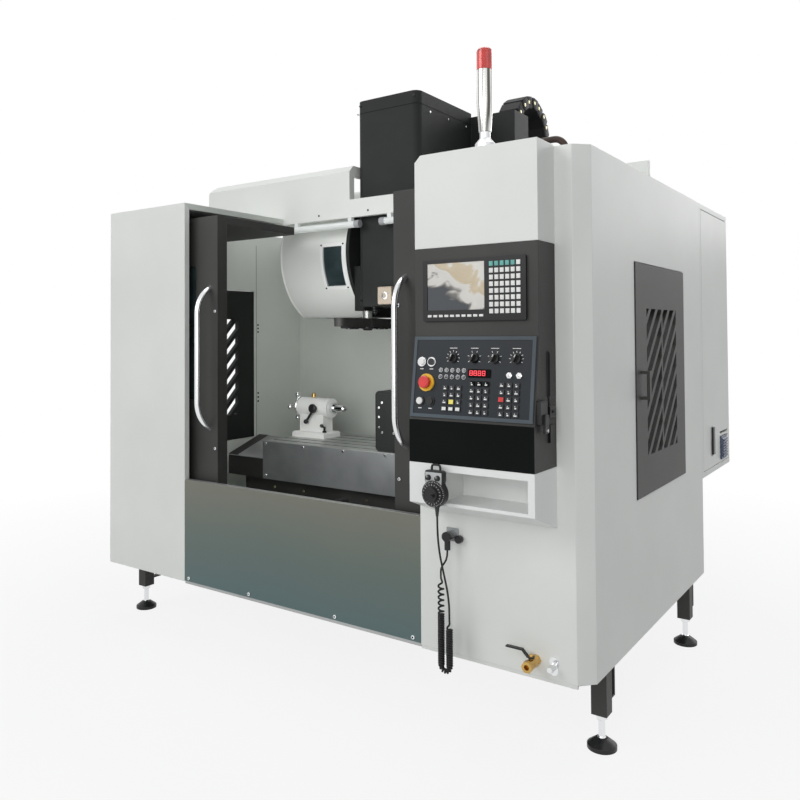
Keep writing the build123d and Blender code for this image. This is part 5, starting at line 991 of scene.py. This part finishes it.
def unit_outline(y, inset):
    """Outline of the case at a depth, drawn in by inset towards its middle."""
    turns = [UNIT_ARC[0] + UNIT_ARC[1] * step / ARC_STEPS for step in range(ARC_STEPS + 1)]
    lower = [(UNIT_ROUND * math.cos(turn), UNIT_ROUND * math.sin(turn)) for turn in turns]
    right = [(UNIT_HALF - 0.003, UNIT_WAIST), (UNIT_HALF, UNIT_WAIST + 0.009), (UNIT_HALF, UNIT_RISE - 0.008),
             (UNIT_HALF - 0.003, UNIT_RISE - 0.002), (UNIT_HALF - 0.009, UNIT_RISE)]
    places = lower + right + [(-x, z) for x, z in right[::-1]]
    share = 1 - inset / UNIT_ROUND
    return [(UNIT.x + x * share, y, UNIT.z + UNIT_HEART + (z - UNIT_HEART) * share) for x, z in places]


def unit_face(y, inset):
    """Outline of the face plate, whose lower edge follows the wheel."""
    half = UNIT_HALF - 0.005 - inset
    reach = UNIT_ROUND - 0.001 + inset
    top = UNIT_RISE - 0.006 - inset
    start = math.acos(half / reach)
    places = [(half, top), (-half, top)]
    for step in range(FACE_STEPS + 1):
        turn = math.pi - start + (2 * start - math.pi) * step / FACE_STEPS
        places.append((reach * math.cos(turn), reach * math.sin(turn)))
    return [(UNIT.x + x, y, UNIT.z + z) for x, z in places]


CASE_STEPS = ((-1.115, 0.02), (-1.134, 0.02), (-1.1342, 0.004), (-1.138, 0), (-1.157, 0), (UNIT.y, 0.003))
FACE_LEVELS = ((0.0005, 0), (-0.001, 0), (-0.0016, 0.001))
KNOB = [(0.0098, 0), (0.0098, 0.004), (0.0085, 0.0055), (0.008, 0.013), (0.0066, 0.014), (0, 0.014)]
unit = Shape()
unit.loft([unit_outline(y, inset) for y, inset in CASE_STEPS])
unit.loft([unit_face(UNIT.y + level, inset) for level, inset in FACE_LEVELS], 1)
unit.lathe(UNIT, FRONT, [(0.02, -0.001), (0.02, 0.006), (0, 0.006)], sides=28)
for across in (-0.018, 0.018):
    knob = UNIT + Vector((across, 0.001, 0.055))
    unit.lathe(knob, FRONT, KNOB, sides=18)
    unit.plate(knob + Vector((0, -0.0139, 0.004)), RIGHT, UP, (0.0016, 0.006), 0.0004, 2)
LOOP_Y = -1.143
LOOP_HALF = (0.004, 0.0045)
loop_right = [(0.009, 0.0968), (0.0145, 0.0945), (0.0168, 0.088), (0.017, 0.074)]
loop = [(-x, z) for x, z in loop_right[::-1]] + loop_right
sections = []
for number, (x, z) in enumerate(loop):
    before, after = loop[max(0, number - 1)], loop[min(len(loop) - 1, number + 1)]
    way = Vector((after[0] - before[0], 0, after[1] - before[1])).normalized()
    side = way.cross(Vector((0, 1, 0))) * LOOP_HALF[0]
    deep = Vector((0, LOOP_HALF[1], 0))
    middle = Vector((UNIT.x + x, LOOP_Y, UNIT.z + z))
    sections.append([middle + side * math.cos(turn) + deep * math.sin(turn) for turn in full_turn(10)])
unit.loft(sections)
RIB_PITCH = 0.0062
sleeve = [(0, -0.004), (0.0105, -0.004), (0.0105, 0.005)]
for rib in range(5):
    wide = 0.0082 - 0.0007 * rib
    start = RIB_PITCH * rib
    sleeve += [(wide, start + 0.0062), (wide, start + 0.0098), (wide - 0.0014, start + 0.0105)]
unit.lathe((UNIT.x, -1.138, 0.874), DOWN, sleeve + [(0.0042, 0.0375), (0, 0.0375)])
unit_piece = unit.done("handwheel_unit", "machine", [black_satin, pale_plastic, white_plastic])
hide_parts("pendant_body")

# Wheel of the handwheel unit: a thin graduated rim, a raised dial and the crank that stands on it
DIAL_BASE = UNIT + Vector((0, -0.0063, 0))
DIAL = [(0, 0), (0.037, 0), (0.038, 0.001), (0.038, 0.005), (0.037, 0.006), (0.0275, 0.006), (0.027, 0.0065),
        (0.0262, 0.0182), (0.0248, 0.0197), (0.0215, 0.0197), (0.0205, 0.0187), (0, 0.0187)]
CRANK = [(0.0055, 0), (0.0045, 0.003), (0.006, 0.007), (0.0062, 0.017), (0.005, 0.0215), (0, 0.0215)]
dial = Shape()
dial.lathe(DIAL_BASE, FRONT, DIAL, sides=48)
scale_marks(dial, DIAL_BASE - Vector((0, 0.0059, 0)), 20, (0.0325, 0.0065), (0.0325, 0.0045), 0.0013, 1)
dial.lathe(DIAL_BASE + Vector((0.0135, -0.0182, 0)), FRONT, CRANK)
dial_piece = dial.done("handwheel_dial", "pendant_wheel", [black_satin, white_plastic])
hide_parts("pendant_wheel")

# Energy chain: linked side plates, cross bars and pins
CHAIN_X = (0.29, 0.415)
CHAIN_MIDDLE = (0.63, 2.565)
CHAIN_RADIUS = 0.2
CHAIN_HALF = 0.033
CHAIN_LOW = 2.0
CHAIN_FRONT_LOW = 2.33
LINK_PITCH = 0.0656
LINK_STEP = 0.004
LINK_PLATE = 0.011
LINK_BEVEL = 0.002
BAR_INSET = 0.006
LINK_OUTLINE = [(-0.5, -0.55), (-0.42, -0.95), (0.3, -0.95), (0.56, -0.5), (0.56, 0.5), (0.3, 0.95), (-0.42, 0.95),
                (-0.5, 0.55)]
BAR_OUTLINE = [(-0.49, -1), (-0.44, 1), (0.44, 1), (0.49, -1)]
BAR_LEVEL = 0.86
BAR_HALF = 0.12
LINK_PIN = [(0.0105, -0.003), (0.0105, 0.002), (0.008, 0.0035), (0, 0.0035)]


def chain_place(run):
    """Middle, way along and way out of the chain after a run from its rear foot."""
    rear = CHAIN_MIDDLE[1] - CHAIN_LOW
    arc = math.pi * CHAIN_RADIUS
    if run < rear:
        return Vector((0, CHAIN_MIDDLE[0] + CHAIN_RADIUS, CHAIN_LOW + run)), Vector((0, 0, 1)), Vector((0, 1, 0))
    if run < rear + arc:
        turn = (run - rear) / CHAIN_RADIUS
        out = Vector((0, math.cos(turn), math.sin(turn)))
        middle = Vector((0, *CHAIN_MIDDLE)) + out * CHAIN_RADIUS
        return middle, Vector((0, -math.sin(turn), math.cos(turn))), out
    drop = run - rear - arc
    return Vector((0, CHAIN_MIDDLE[0] - CHAIN_RADIUS, CHAIN_MIDDLE[1] - drop)), Vector((0, 0, -1)), Vector((0, -1, 0))


def chain_piece():
    chain = Shape()
    whole = (CHAIN_MIDDLE[1] - CHAIN_LOW) + math.pi * CHAIN_RADIUS + (CHAIN_MIDDLE[1] - CHAIN_FRONT_LOW)
    links = int(whole / LINK_PITCH)
    pitch = whole / links
    for link in range(links):
        middle, along, out = chain_place((link + 0.5) * pitch)
        for edge, inward in ((CHAIN_X[0], 1), (CHAIN_X[1], -1)):
            outer = edge + inward * LINK_STEP * (link % 2)
            sections = []
            for sink, share in ((0, 0.9), (LINK_BEVEL, 1.0), (LINK_PLATE, 1.0)):
                start = middle + Vector((outer + inward * sink, 0, 0))
                sections.append([start + along * (a * pitch * share) + out * (b * CHAIN_HALF * share)
                                 for a, b in LINK_OUTLINE])
            chain.loft(sections)
            pin = middle + along * (0.3 * pitch) + Vector((outer, 0, 0))
            chain.lathe(pin, (-inward, 0, 0), LINK_PIN, 1, sides=14)
        for face in (-1, 1):
            centre = middle + out * (face * CHAIN_HALF * BAR_LEVEL)
            sections = []
            for x in (CHAIN_X[0] + BAR_INSET, CHAIN_X[1] - BAR_INSET):
                start = centre + Vector((x, 0, 0))
                sections.append([start + along * (a * pitch) + out * (face * b * CHAIN_HALF * BAR_HALF)
                                 for a, b in BAR_OUTLINE])
            chain.loft(sections)
    piece = chain.done("energy_chain", None, [chain_black, lemon_zinc])
    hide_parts("drag_chain")
    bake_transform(piece)


chain_piece()


# Floor, world and lamps
FLOOR_REACH = 30
FLOOR_GREY = (0.6, 0.6, 0.6, 1)
WHITE = (1, 1, 1, 1)
NEAR_WHITE = 0.86
NEAR_REACH = 1.8
FAR_REACH = 4.5
SKY_TINT = (0.93, 0.96, 1.0, 1)
SKY_STRENGTH = 0.28
# Name, place, target, size and power of each lamp
LAMPS = [
    ("key", (-3.5, -7.5, 5.5), (0, 0, 1.2), (5, 4), 240),
    ("front", (2.5, -6.5, 2.4), (0, 0, 1.2), (3, 3), 100),
    ("fill", (6.5, -3.5, 4.5), (0.5, 0, 1.2), (4, 4), 25),
    ("top", (0, 0.5, 7.5), (0, 0, 0), (6, 5), 170),
    ("back", (1.5, 7, 4.5), (0, 0.5, 1.2), (6, 4), 170),
    ("bay", (-0.15, -0.78, 1.3), (-0.2, 0.5, 1.25), (1.0, 0.7), 5),
]


def seen_rays(tree):
    """One for rays that should meet the white background: those of the camera, mirrors and glass."""
    path = add_node(tree, "LightPath").outputs
    seen = combine("MAXIMUM", path["Is Camera Ray"], path["Is Glossy Ray"])
    return combine("MAXIMUM", seen, path["Is Transmission Ray"])


def mix_shaders(tree, share, first, second, output):
    mix = add_node(tree, "MixShader")
    link(share, mix.inputs["Fac"])
    link(first.outputs[0], mix.inputs[1])
    link(second.outputs[0], mix.inputs[2])
    link(mix.outputs[0], tree.nodes[output].inputs["Surface"])


def make_floor():
    """A pale floor that takes a shadow near the machine and turns white away from it."""
    mesh = bpy.data.meshes.new("floor")
    corners = [(x * FLOOR_REACH, y * FLOOR_REACH, 0) for x, y in ((-1, -1), (1, -1), (1, 1), (-1, 1))]
    mesh.from_pydata(corners, [], [(0, 1, 2, 3)])
    add_object("floor", mesh)
    material, tree, shader = new_material("floor")
    set_inputs(shader, Base_Color=FLOOR_GREY, Roughness=0.9)
    glow = add_node(tree, "Emission", Color=WHITE)
    away = add_node(tree, "VectorMath")
    away.operation = "LENGTH"
    link(object_place(tree), away.inputs[0])
    white = spread(away.outputs["Value"], NEAR_WHITE, 1.0, NEAR_REACH, FAR_REACH)
    mix_shaders(tree, combine("MULTIPLY", seen_rays(tree), white), shader, glow, "Material Output")
    mesh.materials.append(material)


def make_world():
    world = bpy.data.worlds.new("world")
    scene.world = world
    world.use_nodes = True
    tree = world.node_tree
    back = tree.nodes["Background"]
    set_inputs(back, Color=SKY_TINT, Strength=SKY_STRENGTH)
    seen = add_node(tree, "Background", Color=WHITE, Strength=1.0)
    mix_shaders(tree, seen_rays(tree), back, seen, "World Output")


def make_lamps():
    for name, place, target, size, power in LAMPS:
        data = bpy.data.lights.new(name, "AREA")
        data.shape = "RECTANGLE"
        data.size, data.size_y = size
        data.energy = power
        light = add_object(name, data)
        light.location = place
        light.rotation_euler = (Vector(target) - Vector(place)).to_track_quat("-Z", "Y").to_euler()


make_floor()
make_world()
make_lamps()
scene.view_settings.view_transform = "Standard"
